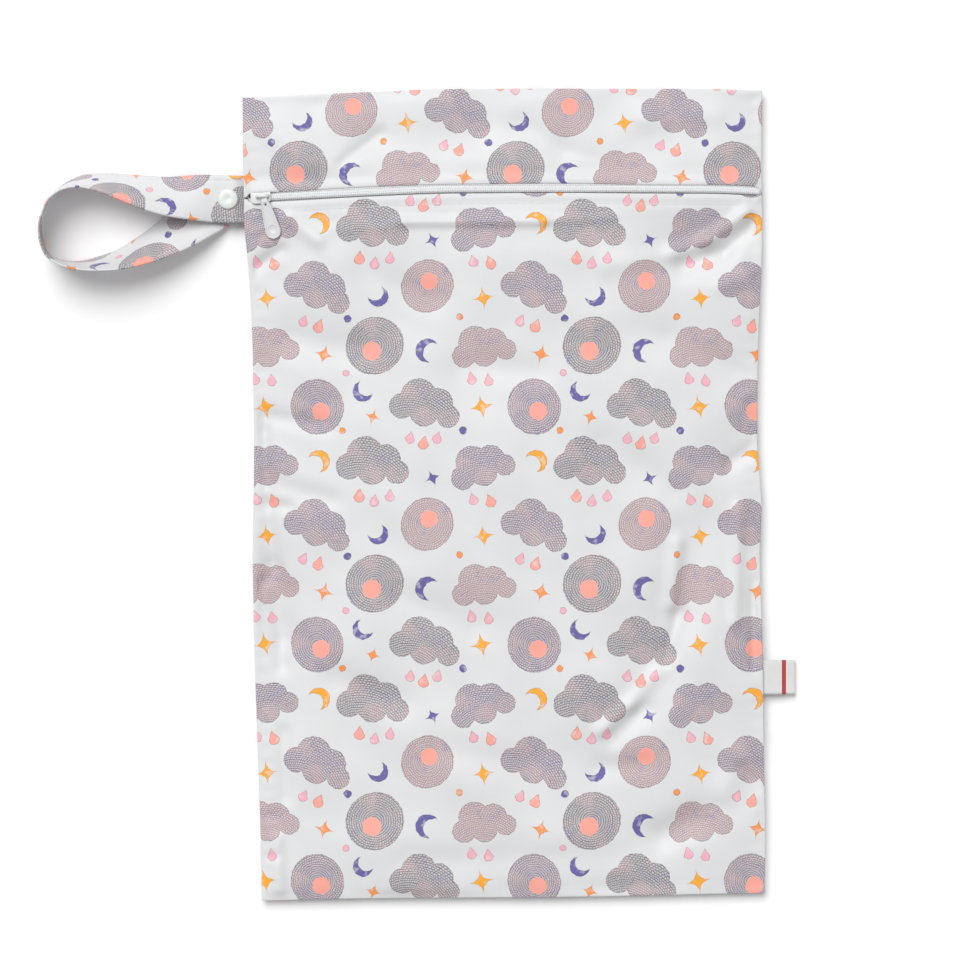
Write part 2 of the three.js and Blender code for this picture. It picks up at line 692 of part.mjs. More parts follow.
// Strap: a flat band carried round the loop, leaning from face up to on edge to face down
function strapLoop() {
  const half = strapWidth / 2;
  const flat = [
    { x: planX(snapU, strapY) + strapRoot, y: strapY, z: seamHeight, lean: 0 },
    { x: planX(snapU, strapY), y: strapY, z: seamHeight + fit / 2, lean: 0 },
    { x: snapX + capRadius * 0.7, y: strapY, z: upperStrapBottom + strapThickness / 2, lean: 0 },
    { x: snapX, y: strapY, z: upperStrapBottom + strapThickness / 2, lean: 0 },
  ];
  const upperLevel = upperStrapBottom + strapThickness / 2;
  const run = strapRun.map(({ out, aside, rise, lean }) => {
    const edge = lerp(strapThickness / 2, upperLevel, rise);
    const z = edge + Math.sin(radians(lean)) * half;
    return { x: snapX - out * loopReach, y: strapY + aside * loopReach, z, lean };
  });
  const under = lowerStrapBottom + strapThickness / 2;
  const turn = radians(tailTurn);
  const tail = [
    { x: snapX, y: strapY, z: under, lean: 180 },
    { x: snapX + strapTail * Math.cos(turn), y: strapY + strapTail * Math.sin(turn), z: under, lean: 180 },
  ];
  const stations = flat.concat(run, tail);
  const curve = new THREE.CatmullRomCurve3(
    stations.map(({ x, y, z }) => new THREE.Vector3(x, y, z)), false, 'centripetal',
  );
  const perGap = 3;
  const count = (stations.length - 1) * perGap;
  const rings = [];
  for (let step = 0; step <= count; step += 1) {
    const t = step / count;
    const before = Math.min(stations.length - 2, Math.floor(step / perGap));
    const lean = radians(lerp(stations[before].lean, stations[before + 1].lean, step / perGap - before));
    const centre = curve.getPoint(t);
    const tangent = curve.getTangent(t);
    const outward = new THREE.Vector3(tangent.y, -tangent.x, 0).normalize();
    const upwards = new THREE.Vector3(0, 0, Math.sin(lean));
    const width = outward.clone().multiplyScalar(-Math.cos(lean)).add(upwards);
    const face = new THREE.Vector3().crossVectors(tangent, width).normalize();
    const corner = (across, off) => centre.clone()
      .addScaledVector(width, across * half)
      .addScaledVector(face, off * strapThickness / 2);
    rings.push([corner(-1, -1), corner(1, -1), corner(1, 1), corner(-1, 1)]);
  }
  const hole = new THREE.CylinderGeometry(holeRadius, holeRadius, 2 * strapWidth, 16)
    .rotateX(Math.PI / 2).translate(snapX, strapY, 0);
  return named('strap_loop', cut(ringGeometry(rings), hole), fabric);
}

// Tag: one tape folded on itself, its two ends in the seam
function sideTag() {
  const rootX = planX(1, tagY);
  const inner = tagSlit / 2;
  const outer = inner + tagTape;
  const shape = new THREE.Shape();
  shape.moveTo(-tagRoot, inner);
  shape.lineTo(0, inner);
  shape.lineTo(tagLength - outer, inner - tagDroop);
  shape.lineTo(tagLength - outer, -inner - tagDroop);
  shape.lineTo(0, -inner);
  shape.lineTo(-tagRoot, -inner);
  shape.lineTo(-tagRoot, -outer);
  shape.lineTo(0, -outer);
  shape.lineTo(tagLength - outer, -outer - tagDroop);
  shape.absarc(tagLength - outer, -tagDroop, outer, -Math.PI / 2, Math.PI / 2, false);
  shape.lineTo(0, outer);
  shape.lineTo(-tagRoot, outer);
  shape.closePath();
  const tag = plate(shape, -tagHeight / 2, tagHeight / 2).rotateX(Math.PI / 2);
  return named('side_tag', tag.translate(rootX, tagY, seamHeight), tapeCloth);
}

const wetBag = new THREE.Group();
wetBag.add(
  backCloth(),
  frontPanel(),
  topBand(),
  tape('tape_lower', -1),
  tape('tape_upper', 1),
  zipChain(),
  zipSlider(),
  strapLoop(),
  snapPieces(),
  sideTag(),
);

export default wetBag;
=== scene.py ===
"""A cloth wet bag lying flat on a pale floor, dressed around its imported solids.

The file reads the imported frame, rebuilds the cloth, zip, slider, pull, strap, snap and tag as fine
meshes on the solids' own places, gives each its finish, and sets the floor, the lights and the camera.
"""

import json
import logging
import math
from dataclasses import dataclass
from enum import Enum
from typing import Callable, Iterable, Sequence

import bmesh
import bpy
import numpy as np
from mathutils import Matrix, Vector, noise
from mathutils.bvhtree import BVHTree


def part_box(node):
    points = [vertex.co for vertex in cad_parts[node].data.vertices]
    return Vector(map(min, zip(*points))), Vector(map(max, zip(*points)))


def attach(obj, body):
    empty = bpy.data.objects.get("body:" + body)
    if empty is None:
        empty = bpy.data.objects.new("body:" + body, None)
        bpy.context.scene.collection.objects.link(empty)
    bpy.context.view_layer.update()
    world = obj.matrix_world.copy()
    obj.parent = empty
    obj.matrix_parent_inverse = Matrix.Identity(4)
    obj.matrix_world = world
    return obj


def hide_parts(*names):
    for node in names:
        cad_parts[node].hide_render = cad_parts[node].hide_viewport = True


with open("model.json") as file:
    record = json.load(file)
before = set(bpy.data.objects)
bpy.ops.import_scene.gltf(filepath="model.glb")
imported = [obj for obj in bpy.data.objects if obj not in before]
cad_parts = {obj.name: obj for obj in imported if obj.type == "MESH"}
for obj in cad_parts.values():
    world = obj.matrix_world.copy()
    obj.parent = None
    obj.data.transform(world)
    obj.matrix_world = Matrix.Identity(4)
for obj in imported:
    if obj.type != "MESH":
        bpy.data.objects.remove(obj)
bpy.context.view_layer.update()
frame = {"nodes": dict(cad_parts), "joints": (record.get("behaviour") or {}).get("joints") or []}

MM = 0.001
BACK_NODES = ("back_panel", "back_seam_left", "back_seam_right", "back_seam_bottom", "back_seam_top")
UP = Vector((0, 0, 1))
LOG = logging.getLogger("wet_bag")
Colour = tuple[float, float, float, float]
Array = np.ndarray
BMesh = bmesh.types.BMesh
Material = bpy.types.Material
Object = bpy.types.Object
Socket = bpy.types.NodeSocket


def tint(red: int, green: int, blue: int) -> Colour:
    """A display colour of 0 to 255 as the linear colour that shaders take."""
    def linear(value: int) -> float:
        """One channel."""
        share = value / 255
        return share / 12.92 if share <= 0.04045 else ((share + 0.055) / 1.055) ** 2.4
    return linear(red), linear(green), linear(blue), 1.0


def darker(colour: Colour, share: float) -> Colour:
    """A share of a colour's light."""
    red, green, blue, _ = colour
    return red * share, green * share, blue * share, 1.0


# Shader building


class S:
    """A shader socket whose arithmetic adds Math nodes."""

    def __init__(self, shade: "Shade", socket: Socket) -> None:
        """Keeps the socket and the material that it is in."""
        self.shade = shade
        self.socket = socket

    def math(self, operation: str, *others: "S | float") -> "S":
        """The Math node of an operation on this value and others."""
        return self.shade.math(operation, self, *others)

    def __add__(self, other: "S | float") -> "S":
        """self + other"""
        return self.math("ADD", other)

    def __radd__(self, other: float) -> "S":
        """other + self"""
        return self.math("ADD", other)

    def __sub__(self, other: "S | float") -> "S":
        """self - other"""
        return self.math("SUBTRACT", other)

    def __rsub__(self, other: float) -> "S":
        """other - self"""
        return self.shade.math("SUBTRACT", other, self)

    def __mul__(self, other: "S | float") -> "S":
        """self * other"""
        return self.math("MULTIPLY", other)

    def __rmul__(self, other: float) -> "S":
        """other * self"""
        return self.math("MULTIPLY", other)

    def __truediv__(self, other: "S | float") -> "S":
        """self / other"""
        return self.math("DIVIDE", other)

    def least(self, other: "S | float") -> "S":
        """The smaller of two values."""
        return self.math("MINIMUM", other)

    def most(self, other: "S | float") -> "S":
        """The larger of two values."""
        return self.math("MAXIMUM", other)

    def size(self) -> "S":
        """The value without its sign."""
        return self.math("ABSOLUTE")

    def whole(self) -> "S":
        """The whole number below."""
        return self.math("FLOOR")

    def part(self) -> "S":
        """What is left above the whole number."""
        return self.math("FRACT")

    def sine(self) -> "S":
        """The sine of an angle."""
        return self.math("SINE")

    def ramp(self, low: float, high: float) -> "S":
        """A smooth step from 0 at low to 1 at high.

        Args:
            low: the value that gives 0.
            high: the value that gives 1, which may be below low.

        Returns:
            The stepped value.
        """
        node = self.shade.node(
            "ShaderNodeMapRange",
            {"interpolation_type": "SMOOTHSTEP", "clamp": True},
            {"Value": self, "From Min": low, "From Max": high, "To Min": 0.0, "To Max": 1.0},
        )
        return S(self.shade, node.outputs["Result"])


class Shade:
    """A material's node tree with one principled shader."""

    def __init__(self, name: str) -> None:
        """Starts an empty material.

        Args:
            name: the material's name.
        """
        self.material = bpy.data.materials.new(name)
        self.material.use_nodes = True
        self.tree = self.material.node_tree
        self.tree.nodes.clear()
        self.shader = self.node("ShaderNodeBsdfPrincipled", {}, {})
        output = self.node("ShaderNodeOutputMaterial", {}, {})
        self.tree.links.new(self.shader.outputs["BSDF"], output.inputs["Surface"])

    def node(self, kind: str, settings: dict, inputs: dict) -> bpy.types.Node:
        """Adds a node.

        Args:
            kind: the node's type.
            settings: its settings, and a ramp's stops under the name stops.
            inputs: the values or links of its sockets, by name or number.

        Returns:
            The node.
        """
        made = self.tree.nodes.new(kind)
        for key, value in settings.items():
            if key == "stops":
                for stop, (place, colour) in zip(self.stops(made, len(value)), value):
                    stop.position = place
                    stop.color = colour
            else:
                setattr(made, key, value)
        for key, value in inputs.items():
            self.feed(made.inputs[key], value)
        return made

    @staticmethod
    def stops(made: bpy.types.Node, count: int) -> list:
        """A colour ramp's stops, made as many as are asked for."""
        elements = made.color_ramp.elements
        while len(elements) < count:
            elements.new(1.0)
        return list(elements)

    def feed(self, socket: Socket, value: object) -> None:
        """Links a socket, or sets its value."""
        if isinstance(value, S):
            self.tree.links.new(value.socket, socket)
        elif isinstance(value, Socket):
            self.tree.links.new(value, socket)
        else:
            socket.default_value = value

    def math(self, operation: str, *values: "S | float") -> S:
        """A Math node's value."""
        made = self.node("ShaderNodeMath", {"operation": operation}, dict(enumerate(values)))
        return S(self, made.outputs[0])

    def vector(self, operation: str, *values: object) -> Socket:
        """A Vector Math node's vector."""
        made = self.node("ShaderNodeVectorMath", {"operation": operation}, dict(enumerate(values)))
        return made.outputs["Vector"]

    def distance(self, place: Socket, x: float, y: float) -> S:
        """How far a flat place is from a point."""
        settings = {"operation": "DISTANCE"}
        made = self.node("ShaderNodeVectorMath", settings, {0: place, 1: (x, y, 0.0)})
        return S(self, made.outputs["Value"])

    def mix(self, factor: "S | float", first: object, second: object) -> Socket:
        """A colour between two, by a factor."""
        made = self.node("ShaderNodeMix", {"data_type": "RGBA"}, {0: factor, 6: first, 7: second})
        return made.outputs[2]

    def blend(self, factor: S, first: object, second: object) -> Socket:
        """A vector between two, by a factor."""
        made = self.node("ShaderNodeMix", {"data_type": "VECTOR"}, {0: factor, 4: first, 5: second})
        return made.outputs[1]

    def split(self, vector: Socket) -> tuple[S, S, S]:
        """A vector's three values."""
        made = self.node("ShaderNodeSeparateXYZ", {}, {0: vector})
        return S(self, made.outputs[0]), S(self, made.outputs[1]), S(self, made.outputs[2])

    def join(self, x: "S | float", y: "S | float", z: "S | float" = 0.0) -> Socket:
        """A vector of three values."""
        return self.node("ShaderNodeCombineXYZ", {}, {0: x, 1: y, 2: z}).outputs[0]

    def flat(self) -> Socket:
        """The piece's own UV map, in metres of flat cloth."""
        return self.node("ShaderNodeUVMap", {"uv_map": "flat"}, {}).outputs["UV"]

    def place(self) -> Socket:
        """Object coordinates, in metres."""
        return self.node("ShaderNodeTexCoord", {}, {}).outputs["Object"]

    def cloudy(self, place: Socket, scale: float, detail: float = 2.0) -> S:
        """Soft noise of 0 to 1 over a place, with scale in features a metre."""
        inputs = {"Vector": place, "Scale": scale, "Detail": detail}
        return S(self, self.node("ShaderNodeTexNoise", {}, inputs).outputs["Fac"])

    def bump(self, height: S, depth: float, strength: float = 1.0) -> Socket:
        """A normal that a height of 0 to 1 raises by a depth in metres."""
        inputs = {"Height": height, "Distance": depth, "Strength": strength}
        return self.node("ShaderNodeBump", {}, inputs).outputs["Normal"]

    def dress(self, **sockets: object) -> Material:
        """Sets the principled shader's sockets, with underscores for spaces in their names."""
        for key, value in sockets.items():
            self.feed(self.shader.inputs[key.replace("_", " ")], value)
        return self.material


class Motif(Enum):
    """What a printed motif shows."""

    CLOUD = "cloud"
    BALL = "ball"
    DROP = "drop"
    MOON = "moon"
    DIAMOND = "diamond"
    DOT = "dot"


@dataclass(frozen=True)
class Printed:
    """One motif of the print's repeat: its place and size in millimetres, its turn and its ink."""

    motif: Motif
    x: float
    y: float
    size: float
    turn: float
    ink: Colour


GREY = tint(128, 124, 130)
MAUVE = tint(140, 122, 142)
ROSE = tint(182, 146, 150)
SALMON = tint(245, 166, 152)
PINK = tint(238, 176, 188)
GOLD = tint(247, 168, 52)
ORANGE = tint(244, 150, 84)
INDIGO = tint(104, 98, 160)
CHALK = tint(226, 222, 222)
INK = tint(86, 76, 88)


@dataclass(frozen=True)
class PrintedCloth:
    """Smooth laminated cloth with a tossed print of hatched clouds, balls and small shapes."""

    repeat: tuple[float, float] = (128 * MM, 140 * MM)
    knit: float = 0.55 * MM
    wander: float = 1.3 * MM
    soft_edge: float = 0.25 * MM
    pen_line: float = 0.55 * MM
    pen_core: float = 0.1 * MM
    ground: Colour = tint(222, 222, 223)
    # shaded is the ground colour in painted shade.
    shaded: Colour = tint(214, 215, 216)
    motifs: tuple[Printed, ...] = (
        Printed(Motif.CLOUD, -48, 53, 42, -12, GREY),
        Printed(Motif.BALL, 16, 52, 31, 20, MAUVE),
        Printed(Motif.CLOUD, -15, 17, 39, 18, MAUVE),
        Printed(Motif.CLOUD, 49, 19, 43, -6, GREY),
        Printed(Motif.BALL, -47, -17, 30, 140, ROSE),
        Printed(Motif.CLOUD, 17, -18, 41, -22, MAUVE),
        Printed(Motif.CLOUD, -14, -53, 38, 10, ROSE),
        Printed(Motif.BALL, 50, -52, 33, -50, GREY),
        Printed(Motif.DROP, -57, 34, 8, -12, PINK),
        Printed(Motif.DROP, -49, 31, 9, -14, SALMON),
        Printed(Motif.DROP, -41, 34, 8, -16, PINK),
        Printed(Motif.DROP, -20, -2, 8, 16, PINK),
        Printed(Motif.DROP, -10, -3, 9, 20, SALMON),
        Printed(Motif.DROP, 41, 0, 9, -4, SALMON),
        Printed(Motif.DROP, 50, -3, 8, -8, PINK),
        Printed(Motif.DROP, 59, 0, 8, -6, PINK),
        Printed(Motif.DROP, 8, -37, 8, -24, PINK),
        Printed(Motif.DROP, 17, -40, 9, -20, SALMON),
        Printed(Motif.DROP, -21, -71, 8, 12, PINK),
        Printed(Motif.DROP, -11, -72, 8, 8, PINK),
        Printed(Motif.DIAMOND, -15, 52, 13, 12, GOLD),
        Printed(Motif.DIAMOND, 49, 46, 9, -18, ORANGE),
        Printed(Motif.DIAMOND, -14, -24, 12, 8, GOLD),
        Printed(Motif.DIAMOND, 20, -57, 11, -14, ORANGE),
        Printed(Motif.DIAMOND, -44, 10, 9, 24, INDIGO),
        Printed(Motif.MOON, 43, 61, 12, 30, INDIGO),
        Printed(Motif.MOON, 17, 20, 13, 200, GOLD),
        Printed(Motif.MOON, 52, -23, 12, 110, INDIGO),
        Printed(Motif.MOON, -47, -55, 14, -40, INDIGO),
        Printed(Motif.DOT, -26, 38, 4.5, 0, INDIGO),
        Printed(Motif.DOT, 31, 38, 4, 0, ORANGE),
        Printed(Motif.DOT, -28, -35, 4, 0, ORANGE),
        Printed(Motif.DOT, 34, -36, 4.5, 0, INDIGO),
        Printed(Motif.DOT, 33, -68, 4, 0, PINK),
    )

    def own(self, shade: Shade, flat: Socket, printed: Printed) -> Socket:
        """A place in a motif's own frame, in shares of its size, where it repeats over the cloth."""
        moved = shade.vector("SUBTRACT", flat, (printed.x * MM, printed.y * MM, 0.0))
        half = (self.repeat[0] / 2, self.repeat[1] / 2, 1.0)
        wrapped = shade.vector("WRAP", moved, half, tuple(-value for value in half))
        inputs = {"Vector": wrapped, "Angle": -math.radians(printed.turn)}
        turned = shade.node("ShaderNodeVectorRotate", {"rotation_type": "Z_AXIS"}, inputs).outputs["Vector"]
        return shade.vector("MULTIPLY", turned, (1 / (printed.size * MM),) * 3)

    @staticmethod
    def cloud(shade: Shade, own: Socket) -> S:
        """How far outside a cloud's edge a place is."""
        puffs = (
            (-0.32, -0.08, 0.18), (-0.12, 0.10, 0.25), (0.16, 0.05, 0.22),
            (0.34, -0.09, 0.16), (0.0, -0.1, 0.2),
        )
        edge = None
        for x, y, radius in puffs:
            puff = shade.distance(own, x, y) - radius
            edge = puff if edge is None else edge.least(puff)
        return edge

    @staticmethod
    def ball(shade: Shade, own: Socket) -> S:
        """How far outside a ball's edge a place is."""
        across, up, _ = shade.split(own)
        return shade.distance(shade.join(across, up * 0.94), 0.0, 0.0) - 0.5

    @staticmethod
    def drop(shade: Shade, own: Socket) -> S:
        """How far outside a drop's edge a place is."""
        across, up, _ = shade.split(own)
        round_part = shade.distance(shade.join(across, up.least(-0.12)), 0.0, -0.12) - 0.36
        return round_part.most(across.size() + (up + 0.12).most(0.0) * 0.62 - 0.36)

    @staticmethod
    def moon(shade: Shade, own: Socket) -> S:
        """How far outside a crescent's edge a place is."""
        return (shade.distance(own, 0.0, 0.0) - 0.5).most(0.42 - shade.distance(own, 0.26, 0.08))

    @staticmethod
    def diamond(shade: Shade, own: Socket) -> S:
        """How far outside a hollow-sided diamond's edge a place is."""
        across, up, _ = shade.split(own)
        root = across.size().math("SQRT") + up.size().math("SQRT")
        return (root * root - 0.62) * 0.5

    @staticmethod
    def dot(shade: Shade, own: Socket) -> S:
        """How far outside a dot's edge a place is."""
        return shade.distance(own, 0.0, 0.0) - 0.5

    def nearest(self, shade: Shade, flat: Socket, motif: Motif) -> tuple:
        """The nearest motif of one kind to a place.

        Args:
            shade: the material.
            flat: the place on the flat cloth.
            motif: the kind.

        Returns:
            The place in the nearest motif's own frame, and its ink.
        """
        own = ink = far = None
        for printed in self.motifs:
            if printed.motif is not motif:
                continue
            this = self.own(shade, flat, printed)
            away = shade.distance(this, 0.0, 0.0)
            if own is None:
                own, ink, far = this, printed.ink, away
            else:
                closer = away.math("LESS_THAN", far)
                own = shade.blend(closer, own, this)
                ink = shade.mix(closer, ink, printed.ink)
                far = far.least(away)
        return own, ink

    @staticmethod
    def hatched(shade: Shade, own: Socket, ink: object, motif: Motif) -> Socket:
        """A large motif's wash with short chalk strokes on arcs.

        Args:
            shade: the material.
            own: the motif's own place.
            ink: the motif's ink.
            motif: its kind.

        Returns:
            The colour.
        """
        centre, cells, around = (-0.12, -0.62), 31.0, 18.0
        if motif is Motif.BALL:
            centre, cells, around = (0.0, 0.0), 24.0, 9.0
        across, up, _ = shade.split(own)
        arc = shade.distance(own, *centre) * cells
        turn = shade.math("ARCTAN2", up - centre[1], across - centre[0]) * around
        broken = (turn + arc.whole() * 0.37).part()
        stroke = (arc.part() - 0.5).size().ramp(0.42, 0.2) * (broken - 0.5).size().ramp(0.46, 0.3)
        patch = shade.cloudy(own, 2.6)
        wash = shade.mix(patch.ramp(0.46, 0.66) * 0.8, ink, ROSE)
        wash = shade.mix(patch.ramp(0.46, 0.3) * 0.7, wash, INDIGO)
        return shade.mix(stroke * 0.66, shade.mix(0.3, wash, GREY), CHALK)

    def material(self) -> Material:
        """The cloth's material."""
        shade = Shade("printed_cloth")
        flat = shade.flat()
        wander = shade.node("ShaderNodeTexNoise", {}, {"Vector": flat, "Scale": 420.0, "Detail": 1.0})
        centred = shade.vector("SUBTRACT", wander.outputs["Color"], (0.5, 0.5, 0.5))
        drawn = shade.vector("ADD", flat, shade.vector("MULTIPLY", centred, (self.wander, self.wander, 0.0)))
        wash = shade.cloudy(flat, 260.0, 1.0)
        # Broad soft patches of painted shade: the ground colour mixed with a shaded copy of itself.
        colour = shade.mix(shade.cloudy(flat, 16.0, 1.0), self.ground, self.shaded)
        covered = None
        shapes: dict[Motif, tuple[Callable, float]] = {
            Motif.CLOUD: (self.cloud, 40 * MM),
            Motif.BALL: (self.ball, 31 * MM),
            Motif.DROP: (self.drop, 8 * MM),
            Motif.MOON: (self.moon, 13 * MM),
            Motif.DIAMOND: (self.diamond, 11 * MM),
            Motif.DOT: (self.dot, 4 * MM),
        }
        for motif, (shape, size) in shapes.items():
            own, ink = self.nearest(shade, drawn, motif)
            edge = shape(shade, own) * size
            inside = edge.ramp(self.soft_edge, -self.soft_edge)
            if motif in (Motif.CLOUD, Motif.BALL):
                ink = self.hatched(shade, own, ink, motif)
            else:
                ink = shade.mix(wash.ramp(0.5, 0.72) * 0.45, ink, CHALK)
            if motif is Motif.BALL:
                ink = shade.mix(shade.distance(own, 0.04, -0.1).ramp(0.175, 0.16), ink, SALMON)
            ink = shade.mix(edge.size().ramp(self.pen_line, self.pen_core) * 0.5, ink, INK)
            colour = shade.mix(inside, colour, ink)
            covered = inside if covered is None else covered.most(inside)
        across, up, _ = shade.split(flat)
        turn = 2 * math.pi / self.knit
        ribs = (across * turn).sine() * 0.5 + (up * turn * 0.8).sine() * 0.5
        soft = shade.cloudy(flat, 700.0, 1.0)
        rough = 0.46 + covered * 0.1 + (soft - 0.5) * 0.08
        return shade.dress(
            Base_Color=colour, Roughness=rough, Normal=shade.bump(ribs * 0.35 + soft, 0.05 * MM, 0.5),
            Sheen_Weight=0.1, Sheen_Roughness=0.4, Specular_IOR_Level=0.3,
        )


@dataclass(frozen=True)
class WovenTape:
    """A flat woven tape with fine ribs across it."""

    name: str
    colour: Colour
    rib: float = 0.6 * MM
    stripe: Colour | None = None
    stripe_from: float = 0.0
    stripe_to: float = 0.0

    def material(self) -> Material:
        """The tape's material."""
        shade = Shade(self.name)
        across, up, _ = shade.split(shade.flat())
        turn = 2 * math.pi / self.rib
        over = (across * turn).sine() * (up * turn * 1.6).sine()
        # Where the threads dip between the ribs the colour is painted darker: painted shade in the weave's
        # hollows, on the stripe too.
        light = over.ramp(-0.9, 0.9)
        colour = shade.mix(light, darker(self.colour, 0.86), self.colour)
        if self.stripe is not None:
            soft = 0.15 * MM
            start = up.ramp(self.stripe_from - soft, self.stripe_from + soft)
            band = start * up.ramp(self.stripe_to + soft, self.stripe_to - soft)
            colour = shade.mix(band, colour, shade.mix(light, darker(self.stripe, 0.7), self.stripe))
        return shade.dress(
            Base_Color=colour, Roughness=0.62 + over * 0.06, Normal=shade.bump(over, 0.06 * MM),
            Sheen_Weight=0.25,
        )


@dataclass(frozen=True)
class CoilNylon:
    """White nylon of the zip's coil."""

    colour: Colour = tint(232, 232, 233)

    def material(self) -> Material:
        """The coil's material."""
        shade = Shade("zip_coil")
        place = shade.place()
        dust = shade.cloudy(place, 900.0)
        colour = shade.mix(dust.ramp(0.35, 0.75), self.colour, tint(224, 225, 226))
        return shade.dress(
            Base_Color=colour, Roughness=0.55 + dust * 0.12, Normal=shade.bump(dust, 0.01 * MM),
            Subsurface_Weight=0.15, Subsurface_Scale=0.001,
        )


@dataclass(frozen=True)
class SliderEnamel:
    """Light grey baked enamel on a cast slider, a little worn along its edges."""

    colour: Colour = tint(222, 223, 223)
    worn: Colour = tint(190, 191, 192)

    def material(self) -> Material:
        """The enamel's material."""
        shade = Shade("slider_enamel")
        place = shade.place()
        peel = shade.cloudy(place, 1400.0, 3.0)
        geometry = shade.node("ShaderNodeNewGeometry", {}, {})
        edge = S(shade, geometry.outputs["Pointiness"]).ramp(0.53, 0.62)
        rub = edge * shade.cloudy(place, 600.0).ramp(0.4, 0.65)
        paint = shade.mix(peel.ramp(0.3, 0.7), self.colour, tint(214, 215, 216))
        colour = shade.mix(rub * 0.7, paint, self.worn)
        return shade.dress(
            Base_Color=colour, Roughness=0.3 + peel * 0.14 + rub * 0.1, Metallic=rub * 0.5,
            Normal=shade.bump(peel, 0.03 * MM), Coat_Weight=0.25, Coat_Roughness=0.2,
        )


@dataclass(frozen=True)
class SnapResin:
    """Milky resin of the snap."""

    colour: Colour = tint(226, 229, 227)

    def material(self) -> Material:
        """The resin's material."""
        shade = Shade("snap_resin")
        place = shade.place()
        grain = shade.cloudy(place, 1100.0)
        colour = shade.mix(shade.cloudy(place, 180.0), self.colour, tint(220, 225, 222))
        return shade.dress(
            Base_Color=colour, Roughness=0.36 + grain * 0.12, Normal=shade.bump(grain, 0.01 * MM),
            Subsurface_Weight=0.3, Subsurface_Scale=0.003, Coat_Weight=0.2,
        )


@dataclass(frozen=True)
class Thread:
    """Sewing thread, twisted."""

    colour: Colour = tint(236, 236, 238)
    twist: float = 0.35 * MM

    def material(self) -> Material:
        """The thread's material."""
        shade = Shade("thread")
        x, y, z = shade.split(shade.place())
        strand = ((x + y + z) * (2 * math.pi / self.twist)).sine()
        # The twist's grooves are painted darker: painted shade between the strands.
        colour = shade.mix(strand.ramp(-1.0, 1.0), darker(self.colour, 0.8), self.colour)
        return shade.dress(
            Base_Color=colour, Roughness=0.6 + strand * 0.05, Normal=shade.bump(strand, 0.03 * MM),
            Sheen_Weight=0.3,
        )


# Meshes


def stand(name: str, bm: BMesh) -> Object:
    """Makes a mesh, which is freed, an object of the scene."""
    mesh = bpy.data.meshes.new(name)
    bm.to_mesh(mesh)
    bm.free()
    made = bpy.data.objects.new(name, mesh)
    bpy.context.scene.collection.objects.link(made)
    return made


def piece(name: str, bm: BMesh, material: Material, body: str) -> Object:
    """Makes a finished mesh an object that rides on a body.

    Args:
        name: the piece's name.
        bm: its mesh, which is freed.
        material: its finish.
        body: the body that it rides on.

    Returns:
        The object.
    """
    for face in bm.faces:
        face.smooth = True
    made = stand(name, bm)
    made.data.materials.append(material)
    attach(made, body)
    LOG.info("%s: %d faces", name, len(made.data.polygons))
    return made


def solidify(made: Object, thickness: float, offset: float) -> bpy.types.SolidifyModifier:
    """Gives a sheet its wall."""
    wall = made.modifiers.new("wall", "SOLIDIFY")
    wall.thickness = thickness
    wall.offset = offset
    wall.use_even_offset = False
    return wall


def rounded(bm: BMesh, edges: Sequence[bmesh.types.BMEdge], offset: float, segments: int) -> None:
    """Rounds edges of a mesh."""
    bmesh.ops.bevel(
        bm, geom=edges, offset=offset, segments=segments, profile=0.5, affect="EDGES", material=-1,
    )


def block(
    bm: BMesh, size: Sequence[float], place: Sequence[float], rounding: float, segments: int,
) -> None:
    """Adds a box with rounded edges.

    Args:
        bm: the mesh that it is added to.
        size: its three sizes.
        place: its middle.
        rounding: how far in its edges are rounded.
        segments: the steps of the rounding.
    """
    corners = bmesh.ops.create_cube(bm, size=1.0)["verts"]
    bmesh.ops.scale(bm, vec=size, verts=corners)
    bmesh.ops.translate(bm, vec=place, verts=corners)
    rounded(bm, [edge for edge in bm.edges if set(edge.verts) <= set(corners)], rounding, segments)


def spun(bm: BMesh, profile: list, axis: Sequence[float], angle: float, steps: int) -> None:
    """Spins a profile round an axis through the origin, closed where the turn is full."""
    bmesh.ops.spin(
        bm, geom=profile, cent=(0, 0, 0), axis=axis, dvec=(0, 0, 0), angle=angle, steps=steps,
        use_merge=angle >= 2 * math.pi,
    )


def raised(bm: BMesh, rim: Sequence[bmesh.types.BMVert], height: float) -> None:
    """Makes the face inside a rim a slab, by a copy of it higher up."""
    faces = [face for face in bm.faces if set(face.verts) <= set(rim)]
    grown = bmesh.ops.extrude_face_region(bm, geom=faces)["geom"]
    risen = [made for made in grown if isinstance(made, bmesh.types.BMVert)]
    bmesh.ops.translate(bm, vec=(0, 0, height), verts=risen)


def eased(value: float, power: float) -> float:
    """A value's size to a power, with the value's sign."""
    return math.copysign(abs(value) ** power, value)


def axes_at(place: Vector, along: Vector, above: Vector = UP) -> Matrix:
    """A frame at a place, with its X along a direction and its Z towards another."""
    aside = above.cross(along).normalized()
    axes = Matrix((along, aside, along.cross(aside))).transposed().to_4x4()
    axes.translation = place
    return axes


def grid(columns: int, rows: int) -> tuple[BMesh, Array, Array]:
    """A flat grid and each vertex's column and row.

    Args:
        columns: how many cells lie across it.
        rows: how many cells lie up it.

    Returns:
        The mesh, and the whole numbers of the vertices' columns and rows.
    """
    bm = bmesh.new()
    bmesh.ops.create_grid(bm, x_segments=columns, y_segments=rows, size=0.5)
    places = np.array([vertex.co[:2] for vertex in bm.verts])
    low = places.min(axis=0)
    span = places.max(axis=0) - low
    counts = [len(np.unique(places[:, axis].round(6))) - 1 for axis in (0, 1)]
    column = np.rint((places[:, 0] - low[0]) / span[0] * counts[0]).astype(int)
    row = np.rint((places[:, 1] - low[1]) / span[1] * counts[1]).astype(int)
    return bm, column, row


def place_all(bm: BMesh, points: Array) -> None:
    """Moves every vertex to its own point."""
    for vertex, point in zip(bm.verts, points):
        vertex.co = point


